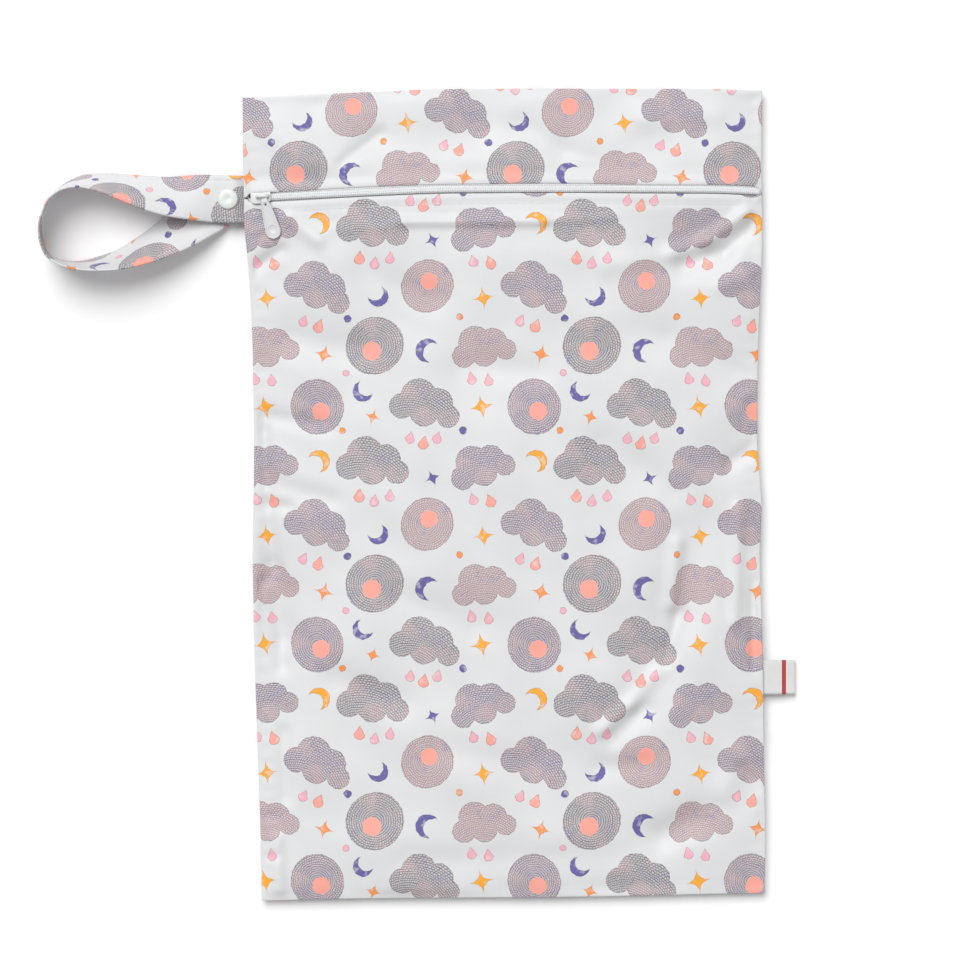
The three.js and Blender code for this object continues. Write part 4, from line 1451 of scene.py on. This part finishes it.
@dataclass
class Slider:
    """The zip's slider and its pull."""

    line: ZipLine
    enamel: Material
    length: float = 12 * MM
    width: float = 9 * MM
    taper: float = 0.13
    plate: float = 1.1 * MM
    slab: float = 5.6 * MM
    flange_short: float = 3.4 * MM
    flange_wall: float = 0.75 * MM
    flange_drop: float = 1.0 * MM
    flange_aside: float = 3.45 * MM
    divider: float = 1.8 * MM
    divider_in: float = 2.4 * MM
    bridge_length: float = 8.4 * MM
    bridge_width: float = 1.9 * MM
    bridge_ahead: float = 1.2 * MM
    bridge_sink: float = 0.15 * MM
    bar: float = 1.3 * MM
    pull_length: float = 26 * MM
    pull_start: float = 3.1 * MM
    pull_thickness: float = 1.6 * MM
    neck_width: float = 6 * MM
    end_width: float = 9 * MM
    knuckle_wall: float = 0.75 * MM
    knuckle_length: float = 3.4 * MM
    neck_length: float = 2.6 * MM
    rim: float = 1.0 * MM
    recess: float = 0.4 * MM
    dimple: float = 4.9 * MM
    dimple_depth: float = 0.55 * MM
    dimple_inset: float = 5.8 * MM
    eye: float = 1.5 * MM
    eye_inset: float = 5.4 * MM

    def __post_init__(self) -> None:
        """Finds the slider's and the pull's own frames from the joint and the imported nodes."""
        joint = frame["joints"][0]
        self.pivot = Vector(joint["pos_m"])
        along = self.line.axes(self.line.start + 4 * MM).to_3x3().col[0].normalized()
        self.axes = axes_at(self.pivot, along)
        corners = self.from_pivot("zip_slider")
        lengths = [corner.dot(along) for corner in corners]
        heights = [corner.dot(self.axes.to_3x3().col[2]) for corner in corners]
        self.axes.translation = self.pivot + along * (min(lengths) + max(lengths)) / 2
        self.low, self.bar_top = min(heights), max(heights)
        hinge = -Vector(joint["axis"])
        corners = self.from_pivot("pull_tab")
        tip = sum(sorted(corners, key=lambda corner: -corner.length)[:12], Vector()) / 12
        tip = (tip - hinge * tip.dot(hinge)).normalized()
        self.knuckle_radius = max(-corner.dot(tip) for corner in corners)
        self.pull_axes = Matrix((hinge, -tip, hinge.cross(-tip).normalized())).transposed().to_4x4()
        self.pull_axes.translation = self.pivot

    def from_pivot(self, node: str) -> list[Vector]:
        """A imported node's corners from the pull's pivot."""
        return [vertex.co - self.pivot for vertex in frame["nodes"][node].data.vertices]

    def outline_plate(self, bm: BMesh, low: float, high: float) -> None:
        """A plate of the slider, wider at its open end, with rounded rims.

        Args:
            bm: the mesh that it is added to.
            low: its underside's height.
            high: its top's height.
        """
        before = set(bm.verts)
        rim = bmesh.ops.create_circle(bm, cap_ends=True, radius=1.0, segments=56)["verts"]
        for vert in rim:
            x, y, _ = vert.co
            half = self.width / 2 * (1 - self.taper * (x + 1) / 2)
            vert.co = (eased(x, 0.5) * self.length / 2, eased(y, 0.5) * half, low)
        raised(bm, rim, high - low)
        edges = [edge for edge in bm.edges if not before & set(edge.verts)]
        level = [edge for edge in edges if abs(edge.verts[0].co.z - edge.verts[1].co.z) < 1e-7]
        rounded(bm, level, 0.32 * MM, 3)

    def body(self) -> Object:
        """The slider's plates, flanges, divider and bridge."""
        bm = bmesh.new()
        top = self.low + self.slab
        self.outline_plate(bm, top - self.plate, top)
        self.outline_plate(bm, self.low, self.low + self.plate)
        for side in (-1, 1):
            size = (self.length - self.flange_short, self.flange_wall, self.flange_drop)
            block(bm, size, (0, side * self.flange_aside, top - self.plate - 0.05 * MM), 0.2 * MM, 2)
        self.post(bm, top)
        self.bridge(bm, top)
        bmesh.ops.recalc_face_normals(bm, faces=bm.faces[:])
        bmesh.ops.transform(bm, matrix=self.axes, verts=bm.verts)
        made = piece("slider", bm, self.enamel, "root")
        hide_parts("zip_slider")
        return made

    def post(self, bm: BMesh, top: float) -> None:
        """The divider between the two plates at the open end."""
        verts = bmesh.ops.create_cone(
            bm, cap_ends=True, segments=24, radius1=self.divider / 2, radius2=self.divider / 2,
            depth=self.slab - self.plate,
        )["verts"]
        bmesh.ops.scale(bm, vec=(1.3, 1, 1), verts=verts)
        place = (self.divider_in - self.length / 2, 0, (top + self.low) / 2)
        bmesh.ops.translate(bm, vec=place, verts=verts)

    def bridge(self, bm: BMesh, top: float) -> None:
        """The arch over the upper plate that the pull hangs on, spun and then squared."""
        rise = self.bar_top - self.bar / 2 - top
        half = (self.bridge_length - self.bar) / 2
        before = set(bm.verts)
        rim = bmesh.ops.create_circle(bm, cap_ends=True, radius=1.0, segments=16)["verts"]
        for vert in rim:
            x, y, _ = vert.co
            vert.co = (eased(x, 0.7) * self.bar / 2 - half, eased(y, 0.7) * self.bridge_width / 2, 0)
        spun(bm, [face for face in bm.faces if set(face.verts) <= set(rim)], (0, 1, 0), math.pi, 28)
        for vert in bm.verts:
            if vert in before:
                continue
            x, y, z = vert.co
            angle = math.atan2(z, -x)
            from_middle = math.hypot(x, z) - half
            ahead = -eased(math.cos(angle), 0.62) * half - from_middle * math.cos(angle)
            up = abs(math.sin(angle)) ** 0.62 * rise + from_middle * abs(math.sin(angle))
            vert.co = (self.bridge_ahead + ahead, y, top - self.bridge_sink + up)

    def blade(self, bm: BMesh) -> None:
        """The pull's blade, narrow at its neck and round at its end."""
        rim = bmesh.ops.create_circle(bm, cap_ends=True, radius=1.0, segments=64)["verts"]
        end = self.end_width / 2
        tip = end - self.pull_length
        for vert in rim:
            x, y, _ = vert.co
            if y <= 0:
                vert.co = (x * end, tip + y * end, -self.pull_thickness / 2)
            else:
                rise = y ** 0.6
                half = end + (self.neck_width / 2 - end) * rise
                across = max(-1.0, min(1.0, eased(x, 0.45)))
                vert.co = (across * half, tip - (self.pull_start + tip) * rise, -self.pull_thickness / 2)
        raised(bm, rim, self.pull_thickness)
        bm.normal_update()

    @staticmethod
    def flat_face(bm: BMesh, height: float) -> list[bmesh.types.BMFace]:
        """The blade's large face at a height."""
        return [f for f in bm.faces if len(f.verts) > 20 and abs(f.calc_center_median().z - height) < 1e-6]

    def pull(self) -> Object:
        """The pull, with its raised rim, its dimple and its knuckle round the bridge."""
        bm = bmesh.new()
        self.blade(bm)
        for height in (self.pull_thickness / 2, -self.pull_thickness / 2):
            for share in (0.75, 0.3):
                faces = self.flat_face(bm, height)
                bmesh.ops.inset_region(bm, faces=faces, thickness=self.rim * share, use_even_offset=True)
            sunk = [vert for face in self.flat_face(bm, height) for vert in face.verts]
            bmesh.ops.translate(bm, vec=(0, 0, -math.copysign(self.recess, height)), verts=sunk)
        sharp = [e for e in bm.edges if e.is_manifold and e.calc_face_angle(0) > math.radians(60)]
        rounded(bm, sharp, 0.22 * MM, 3)
        self.knuckle(bm)
        bmesh.ops.recalc_face_normals(bm, faces=bm.faces[:])
        bmesh.ops.transform(bm, matrix=self.pull_axes, verts=bm.verts)
        made = piece("pull", bm, self.enamel, "pull")
        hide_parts("pull_tab")
        self.press(made)
        return made

    def knuckle(self, bm: BMesh) -> None:
        """The ring round the bridge and the neck that joins it to the blade."""
        middle = self.knuckle_radius - self.knuckle_wall / 2
        before = set(bm.verts)
        rim = bmesh.ops.create_circle(bm, radius=1.0, segments=12)["verts"]
        for vert in rim:
            x, y, _ = vert.co
            across = eased(x, 0.6) * self.knuckle_length / 2
            vert.co = (across, middle + eased(y, 0.8) * self.knuckle_wall / 2, 0)
        ring = [edge for edge in bm.edges if not before & set(edge.verts)]
        spun(bm, ring, (1, 0, 0), 2 * math.pi, 36)
        size = (self.knuckle_length, self.neck_length, self.pull_thickness * 0.86)
        block(bm, size, (0, -self.knuckle_radius - 0.75 * MM, 0), 0.25 * MM, 3)

    def press(self, made: Object) -> None:
        """Presses the round dimple and the small eye into the blade."""
        bm = bmesh.new()
        top = self.pull_thickness / 2 - self.recess
        dish = bmesh.ops.create_uvsphere(bm, u_segments=32, v_segments=16, radius=1.0)["verts"]
        bmesh.ops.scale(bm, vec=(self.dimple / 2, self.dimple / 2, self.dimple_depth), verts=dish)
        bmesh.ops.translate(bm, vec=(0, self.dimple_inset - self.pull_length, top + 0.05 * MM), verts=dish)
        eye = bmesh.ops.create_cone(
            bm, cap_ends=True, segments=20, radius1=self.eye / 2, radius2=self.eye / 2, depth=4 * MM,
        )["verts"]
        bmesh.ops.translate(bm, vec=(0, -self.eye_inset, 0), verts=eye)
        bmesh.ops.transform(bm, matrix=self.pull_axes, verts=bm.verts)
        tool = stand("press", bm)
        cut = made.modifiers.new("press", "BOOLEAN")
        cut.operation = "DIFFERENCE"
        cut.object = tool
        cut.solver = "EXACT"
        bpy.context.view_layer.update()
        pressed = bpy.data.meshes.new_from_object(made.evaluated_get(bpy.context.evaluated_depsgraph_get()))
        made.modifiers.clear()
        made.data = pressed
        for polygon in pressed.polygons:
            polygon.use_smooth = True
        pressed.set_sharp_from_angle(angle=math.radians(38))
        bpy.data.objects.remove(tool)

    def build(self) -> list[Object]:
        """Makes the slider and its pull."""
        return [self.body(), self.pull()]


@dataclass(frozen=True)
class Station:
    """A place on the strap's middle line.

    Its out and aside are shares of the loop's reach, its rise is the height of the strap's low edge
    as a share of its height at the snap, and its lean is in degrees.
    """

    out: float
    aside: float
    rise: float
    lean: float


@dataclass
class Strap:
    """The strap that leaves the seam, turns on edge and comes back under itself to the snap."""

    finish: Material
    thread: Material
    width: float = 28 * MM
    thickness: float = 1.5 * MM
    reach: float = 111 * MM
    tail: float = 6.4 * MM
    tail_turn: float = 9
    root: float = 3.4 * MM
    snap_gap: float = 0.3 * MM
    hole: float = 1.8 * MM
    stitch_in: float = 2.6 * MM
    stitch_pitch: float = 3.0 * MM
    steps: int = 8
    stations: tuple[Station, ...] = (
        Station(0.030, 0.001, 1.00, 0),
        Station(0.075, 0.002, 1.00, 2),
        Station(0.155, 0.006, 0.90, 12),
        Station(0.330, 0.014, 0.50, 33),
        Station(0.550, 0.060, 0.12, 54),
        Station(0.650, 0.083, 0.03, 61),
        Station(0.770, 0.090, 0.00, 70),
        Station(0.870, 0.055, 0.00, 78),
        Station(0.940, -0.010, 0.00, 82),
        Station(0.983, -0.125, 0.00, 83),
        Station(0.977, -0.230, 0.00, 86),
        Station(0.930, -0.310, 0.00, 92),
        Station(0.830, -0.350, 0.00, 100),
        Station(0.620, -0.335, 0.00, 116),
        Station(0.440, -0.270, 0.02, 132),
        Station(0.265, -0.170, 0.08, 152),
        Station(0.130, -0.075, 0.20, 171),
        Station(0.062, -0.030, 0.243, 180),
    )

    def __post_init__(self) -> None:
        """Finds the snap and the seam, and lays out the middle line."""
        cap_low, cap_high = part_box("snap_cap_top")
        self.snap = (cap_low + cap_high) / 2
        self.cap_radius = (cap_high.x - cap_low.x) / 2
        self.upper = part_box("snap_socket")[1].z + self.snap_gap + self.thickness / 2
        self.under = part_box("snap_stud")[0].z - self.snap_gap - self.thickness / 2
        self.seam = (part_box("front_panel")[0].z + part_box("back_seam_left")[1].z) / 2
        self.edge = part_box("strap_loop")[1].x - self.root
        self.line, self.widths, self.faces, self.lengths = self.rails()

    def run(self) -> tuple[list[Vector], list[float]]:
        """The middle line's points and the lean at each."""
        x, y = self.snap.x, self.snap.y
        points = [
            Vector((self.edge + self.root, y, self.seam)),
            Vector((self.edge, y, self.seam + 0.15 * MM)),
            Vector((x + self.cap_radius * 0.7, y, self.upper)),
            Vector((x, y, self.upper)),
        ]
        leans = [0.0] * len(points)
        for station in self.stations:
            low = self.thickness / 2 + (self.upper - self.thickness / 2) * station.rise
            z = low + math.sin(math.radians(station.lean)) * self.width / 2
            points.append(Vector((x - station.out * self.reach, y + station.aside * self.reach, z)))
            leans.append(station.lean)
        turn = math.radians(self.tail_turn)
        points.append(Vector((x, y, self.under)))
        points.append(Vector((x + self.tail * math.cos(turn), y + self.tail * math.sin(turn), self.under)))
        return points, leans + [180.0, 180.0]

    @staticmethod
    def curve(points: Sequence[Vector], steps: int) -> list[Vector]:
        """A centripetal curve through points, with some steps in each gap."""
        def between(a: Vector, b: Vector, start: float, end: float, at: float) -> Vector:
            """The place between two at a knot."""
            return a + (b - a) * ((at - start) / (end - start))

        ends = [points[0] * 2 - points[1], *points, points[-1] * 2 - points[-2]]
        line = []
        for index in range(1, len(ends) - 2):
            p = ends[index - 1:index + 3]
            k = [0.0]
            for a, b in zip(p, p[1:]):
                k.append(k[-1] + math.sqrt((b - a).length))
            for step in range(steps):
                t = k[1] + (k[2] - k[1]) * step / steps
                first = [between(p[i], p[i + 1], k[i], k[i + 1], t) for i in range(3)]
                second = [between(first[i], first[i + 1], k[i], k[i + 2], t) for i in range(2)]
                line.append(between(second[0], second[1], k[1], k[2], t))
        return line + [points[-1].copy()]

    def rails(self) -> tuple[list[Vector], list[Vector], list[Vector], list[float]]:
        """The middle line, the strap's width and face directions along it, and its length so far."""
        points, leans = self.run()
        line = self.curve(points, self.steps)
        widths, faces, lengths = [], [], [0.0]
        for index, here in enumerate(line):
            ahead = line[min(index + 1, len(line) - 1)]
            back = line[max(index - 1, 0)]
            tangent = (ahead - back).normalized()
            gap = min(index // self.steps, len(leans) - 2)
            share = index / self.steps - gap
            lean = math.radians(leans[gap] + (leans[gap + 1] - leans[gap]) * share)
            out = Vector((tangent.y, -tangent.x, 0)).normalized()
            widths.append(out * -math.cos(lean) + UP * math.sin(lean))
            faces.append(tangent.cross(widths[-1]).normalized())
            if index:
                lengths.append(lengths[-1] + (here - line[index - 1]).length)
        return line, widths, faces, lengths

    def band(self) -> Object:
        """The strap's cloth, padded between its stitched edges."""
        bm, column, row = grid(20, len(self.line) - 1)
        aside = (column / column.max() * 2 - 1) * self.width / 2
        place_all(bm, np.array([self.line[at] + self.widths[at] * off for at, off in zip(row, aside)]))
        flat_map(bm, aside + 0.035, np.array(self.lengths)[row] + 0.012)
        near = [f for f in bm.faces if (f.calc_center_median() - self.snap).to_2d().length < self.hole]
        bmesh.ops.delete(bm, geom=near, context="FACES")
        made = piece("strap", bm, self.finish, "root")
        padding = made.vertex_groups.new(name="padding")
        for vertex in made.data.vertices:
            padding.add([vertex.index], self.padding_at(vertex.co), "REPLACE")
        solidify(made, self.thickness, 0).vertex_group = "padding"
        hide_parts("strap_loop")
        return made

    def padding_at(self, point: Vector) -> float:
        """How thick the strap is at a point, as a share: less along its stitches and at its rims."""
        def off(index: int) -> float:
            """How far the point is from a section's line across."""
            away = point - self.line[index]
            return (away - self.widths[index] * away.dot(self.widths[index])).length

        best = min(range(len(self.line)), key=off)
        from_edge = max(0.0, self.width / 2 - abs((point - self.line[best]).dot(self.widths[best])))
        stitched = math.exp(-((from_edge - self.stitch_in) / (0.9 * MM)) ** 2)
        rim = 1 - math.exp(-from_edge / (0.7 * MM))
        return max(0.3, 0.62 + 0.38 * rim - 0.4 * stitched)

    def edge_stitches(self) -> Object:
        """The rows of stitches along both edges, on both faces."""
        places = []
        for side in (-1, 1):
            for face in (-1, 1):
                for at in np.arange(6 * MM, self.lengths[-1] - 2 * MM, self.stitch_pitch):
                    index = int(np.searchsorted(self.lengths, at)) - 1
                    span = self.lengths[index + 1] - self.lengths[index]
                    share = (at - self.lengths[index]) / max(span, 1e-9)
                    rails = (self.line, self.widths, self.faces)
                    middle, width, normal = (rail[index].lerp(rail[index + 1], share) for rail in rails)
                    along = (self.line[index + 1] - self.line[index]).normalized()
                    normal = normal.normalized() * face
                    aside = width.normalized() * side * (self.width / 2 - self.stitch_in)
                    place = middle + aside + normal * (self.thickness * 0.36)
                    places.append(axes_at(place, along, normal))
        bm = stitches(places, 2.1 * MM, 0.3 * MM)
        return piece("strap_stitches", bm, self.thread, "root")

    def build(self) -> list[Object]:
        """Makes the strap and its stitches."""
        return [self.band(), self.edge_stitches()]


@dataclass
class Snap:
    """The resin snap that closes the strap. A cap's profile is in shares of its radius and thickness."""

    resin: Material
    segments: int = 64
    thick: float = 1.4 * MM
    post: float = 1.5 * MM
    post_end: float = 0.3 * MM
    profile: tuple[tuple[float, float], ...] = (
        (0.0, 0.30), (0.10, 0.28), (0.22, 0.16), (0.34, 0.04), (0.55, 0.0), (0.74, 0.08), (0.88, 0.26),
        (0.965, 0.5), (1.0, 0.74), (0.985, 0.93), (0.94, 1.0),
    )

    def turned(self, name: str, node: str, crown_up: bool) -> Object:
        """One cap with its post, spun from its half profile.

        Args:
            name: the piece's name.
            node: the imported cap.
            crown_up: whether its crown looks up.

        Returns:
            The cap.
        """
        low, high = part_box(node)
        radius, height = (high.x - low.x) / 2, high.z - low.z
        outline = [(r * radius, depth * self.thick) for r, depth in self.profile]
        outline += [
            (self.post * 1.25, self.thick), (self.post, self.thick * 1.25),
            (self.post, height - self.post_end), (self.post * 0.8, height), (0.0, height),
        ]
        bm = bmesh.new()
        verts = [bm.verts.new((r, 0, depth)) for r, depth in outline]
        edges = [bm.edges.new(pair) for pair in zip(verts, verts[1:])]
        spun(bm, edges, (0, 0, 1), 2 * math.pi, self.segments)
        bmesh.ops.remove_doubles(bm, verts=bm.verts[:], dist=1e-6)
        bmesh.ops.recalc_face_normals(bm, faces=bm.faces[:])
        place = Matrix.Translation(((low.x + high.x) / 2, (low.y + high.y) / 2, high.z if crown_up else low.z))
        if crown_up:
            place = place @ Matrix.Rotation(math.pi, 4, "X")
        bmesh.ops.transform(bm, matrix=place, verts=bm.verts)
        made = piece(name, bm, self.resin, "root")
        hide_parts(node)
        return made

    def build(self) -> list[Object]:
        """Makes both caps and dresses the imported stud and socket."""
        for node in ("snap_stud", "snap_socket"):
            materials = frame["nodes"][node].data.materials
            materials.clear()
            materials.append(self.resin)
        return [
            self.turned("snap_cap_top_smooth", "snap_cap_top", True),
            self.turned("snap_cap_under_smooth", "snap_cap_under", False),
        ]


@dataclass
class SideTag:
    """The folded tape in the right side seam."""

    satin: Material
    wall: float = 0.35 * MM
    root: float = 4 * MM
    droop: float = 2.6 * MM
    fold_radius: float = 0.42 * MM
    seam_drop: float = 0.72 * MM
    swell: float = 0.18 * MM
    curl: float = 0.5 * MM

    def __post_init__(self) -> None:
        """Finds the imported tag."""
        self.low, self.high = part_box("side_tag")
        self.start = self.low.x + self.root
        self.length = self.high.x - self.start

    def path(self) -> list[tuple[float, float]]:
        """The tape's X and Z from the seam, round its fold and back."""
        seam = self.high.z - self.seam_drop
        run = self.length + self.root - self.fold_radius * 1.5
        legs = {}
        for level in (1, -1):
            legs[level] = []
            for step in range(25):
                x = self.low.x + run * step / 24
                out = max(0.0, (x - self.start) / self.length)
                away = self.fold_radius + self.swell * math.sin(math.pi * out)
                legs[level].append((x, seam - self.droop * out ** 1.2 + level * away))
        turn = []
        for step in range(1, 8):
            angle = math.pi / 2 - math.pi * step / 8
            x = self.low.x + run + self.fold_radius * math.cos(angle)
            turn.append((x, seam - self.droop + self.fold_radius * math.sin(angle)))
        return legs[1] + turn + legs[-1][::-1]

    def build(self) -> list[Object]:
        """Makes the tag as one tape that turns on itself."""
        path = np.array(self.path())
        lengths = np.append(0, np.cumsum(np.linalg.norm(np.diff(path, axis=0), axis=1)))
        bm, column, row = grid(12, len(path) - 1)
        half = (self.high.y - self.low.y) / 2
        across = column / column.max() * 2 - 1
        x, z = path[row].T
        z = z + self.curl * across ** 2 * np.clip((x - self.start) / self.length, 0, 1)
        place_all(bm, np.column_stack((x, (self.low.y + self.high.y) / 2 + across * half, z)))
        flat_map(bm, across * half, lengths[row])
        bm.normal_update()
        bm.faces.ensure_lookup_table()
        if bm.faces[0].normal.z < 0:
            bmesh.ops.reverse_faces(bm, faces=bm.faces[:])
        made = piece("tag", bm, self.satin, "root")
        solidify(made, self.wall, 1)
        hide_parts("side_tag")
        return [made]


@dataclass
class Studio:
    """The pale floor, the soft lights and the camera straight above."""

    view_width: float = 564.5 * MM
    centre_x: float = -15.9 * MM
    centre_y: float = 8.8 * MM
    height: float = 1.6
    loft: float = 10 * MM
    sensor: float = 36.0
    floor_half: float = 4.0
    floor_drop: float = 0.05 * MM
    surround: float = 0.36

    def floor(self) -> None:
        """A wide pale floor just under the bag."""
        bm = bmesh.new()
        bmesh.ops.create_grid(bm, x_segments=1, y_segments=1, size=self.floor_half)
        bmesh.ops.translate(bm, vec=(0, 0, -self.floor_drop), verts=bm.verts)
        made = stand("floor", bm)
        shade = Shade("floor_paint")
        grain = shade.cloudy(shade.place(), 40.0)
        colour = shade.mix(grain, tint(250, 250, 250), tint(248, 248, 249))
        made.data.materials.append(shade.dress(Base_Color=colour, Roughness=0.9, Specular_IOR_Level=0.1))

    def light(self, name: str, come_from: tuple[float, float, float], spread: float, strength: float) -> None:
        """A soft light far away.

        Args:
            name: its name.
            come_from: the direction that it comes from.
            spread: how wide it looks from the bag, in degrees.
            strength: its strength.
        """
        data = bpy.data.lights.new(name, "SUN")
        data.angle = math.radians(spread)
        data.energy = strength
        made = bpy.data.objects.new(name, data)
        made.location = come_from
        made.rotation_mode = "QUATERNION"
        made.rotation_quaternion = (-Vector(come_from)).to_track_quat("-Z", "Y")
        bpy.context.scene.collection.objects.link(made)

    def world(self) -> None:
        """An even white surround."""
        world = bpy.data.worlds.new("surround")
        world.use_nodes = True
        background = world.node_tree.nodes["Background"]
        background.inputs["Color"].default_value = (1.0, 1.0, 1.0, 1.0)
        background.inputs["Strength"].default_value = self.surround
        bpy.context.scene.world = world

    def camera(self) -> None:
        """The camera straight above, in the photograph's frame."""
        data = bpy.data.cameras.new("camera")
        data.sensor_width = self.sensor
        data.lens = data.sensor_width * (self.height - self.loft) / self.view_width
        data.clip_start = 0.05
        made = bpy.data.objects.new("camera", data)
        made.location = (self.centre_x, self.centre_y, self.height)
        bpy.context.scene.collection.objects.link(made)
        bpy.context.scene.camera = made

    def build(self) -> None:
        """Makes the whole studio."""
        self.floor()
        self.world()
        self.light("key_soft", (-0.28, 0.6, 1.0), 44, 2.6)
        self.light("far_soft", (0.8, -0.7, 1.3), 60, 0.2)
        self.camera()
        bpy.context.scene.view_settings.view_transform = "Standard"


def main() -> None:
    """Builds the studio and every piece of the bag in order."""
    logging.basicConfig(level=logging.INFO)
    Studio().build()
    cloth = PrintedCloth().material()
    thread = Thread().material()
    tape = WovenTape("zip_tape", tint(240, 240, 240)).material()
    satin = WovenTape(
        "tag_satin", tint(244, 244, 244), rib=0.45 * MM, stripe=tint(205, 62, 62),
        stripe_from=15.5 * MM, stripe_to=18.0 * MM,
    ).material()
    enamel = SliderEnamel().material()
    line = ZipLine()
    parts = [
        ClothBag(cloth, Outline(), line, thread),
        Zip(line, CoilNylon().material(), tape, thread),
        Slider(line, enamel),
        Strap(cloth, thread),
        Snap(SnapResin().material()),
        SideTag(satin),
    ]
    for part in parts:
        made = part.build()
        LOG.info("%s: %s", type(part).__name__, ", ".join(each.name for each in made))


if __name__ == "__main__":
    main()
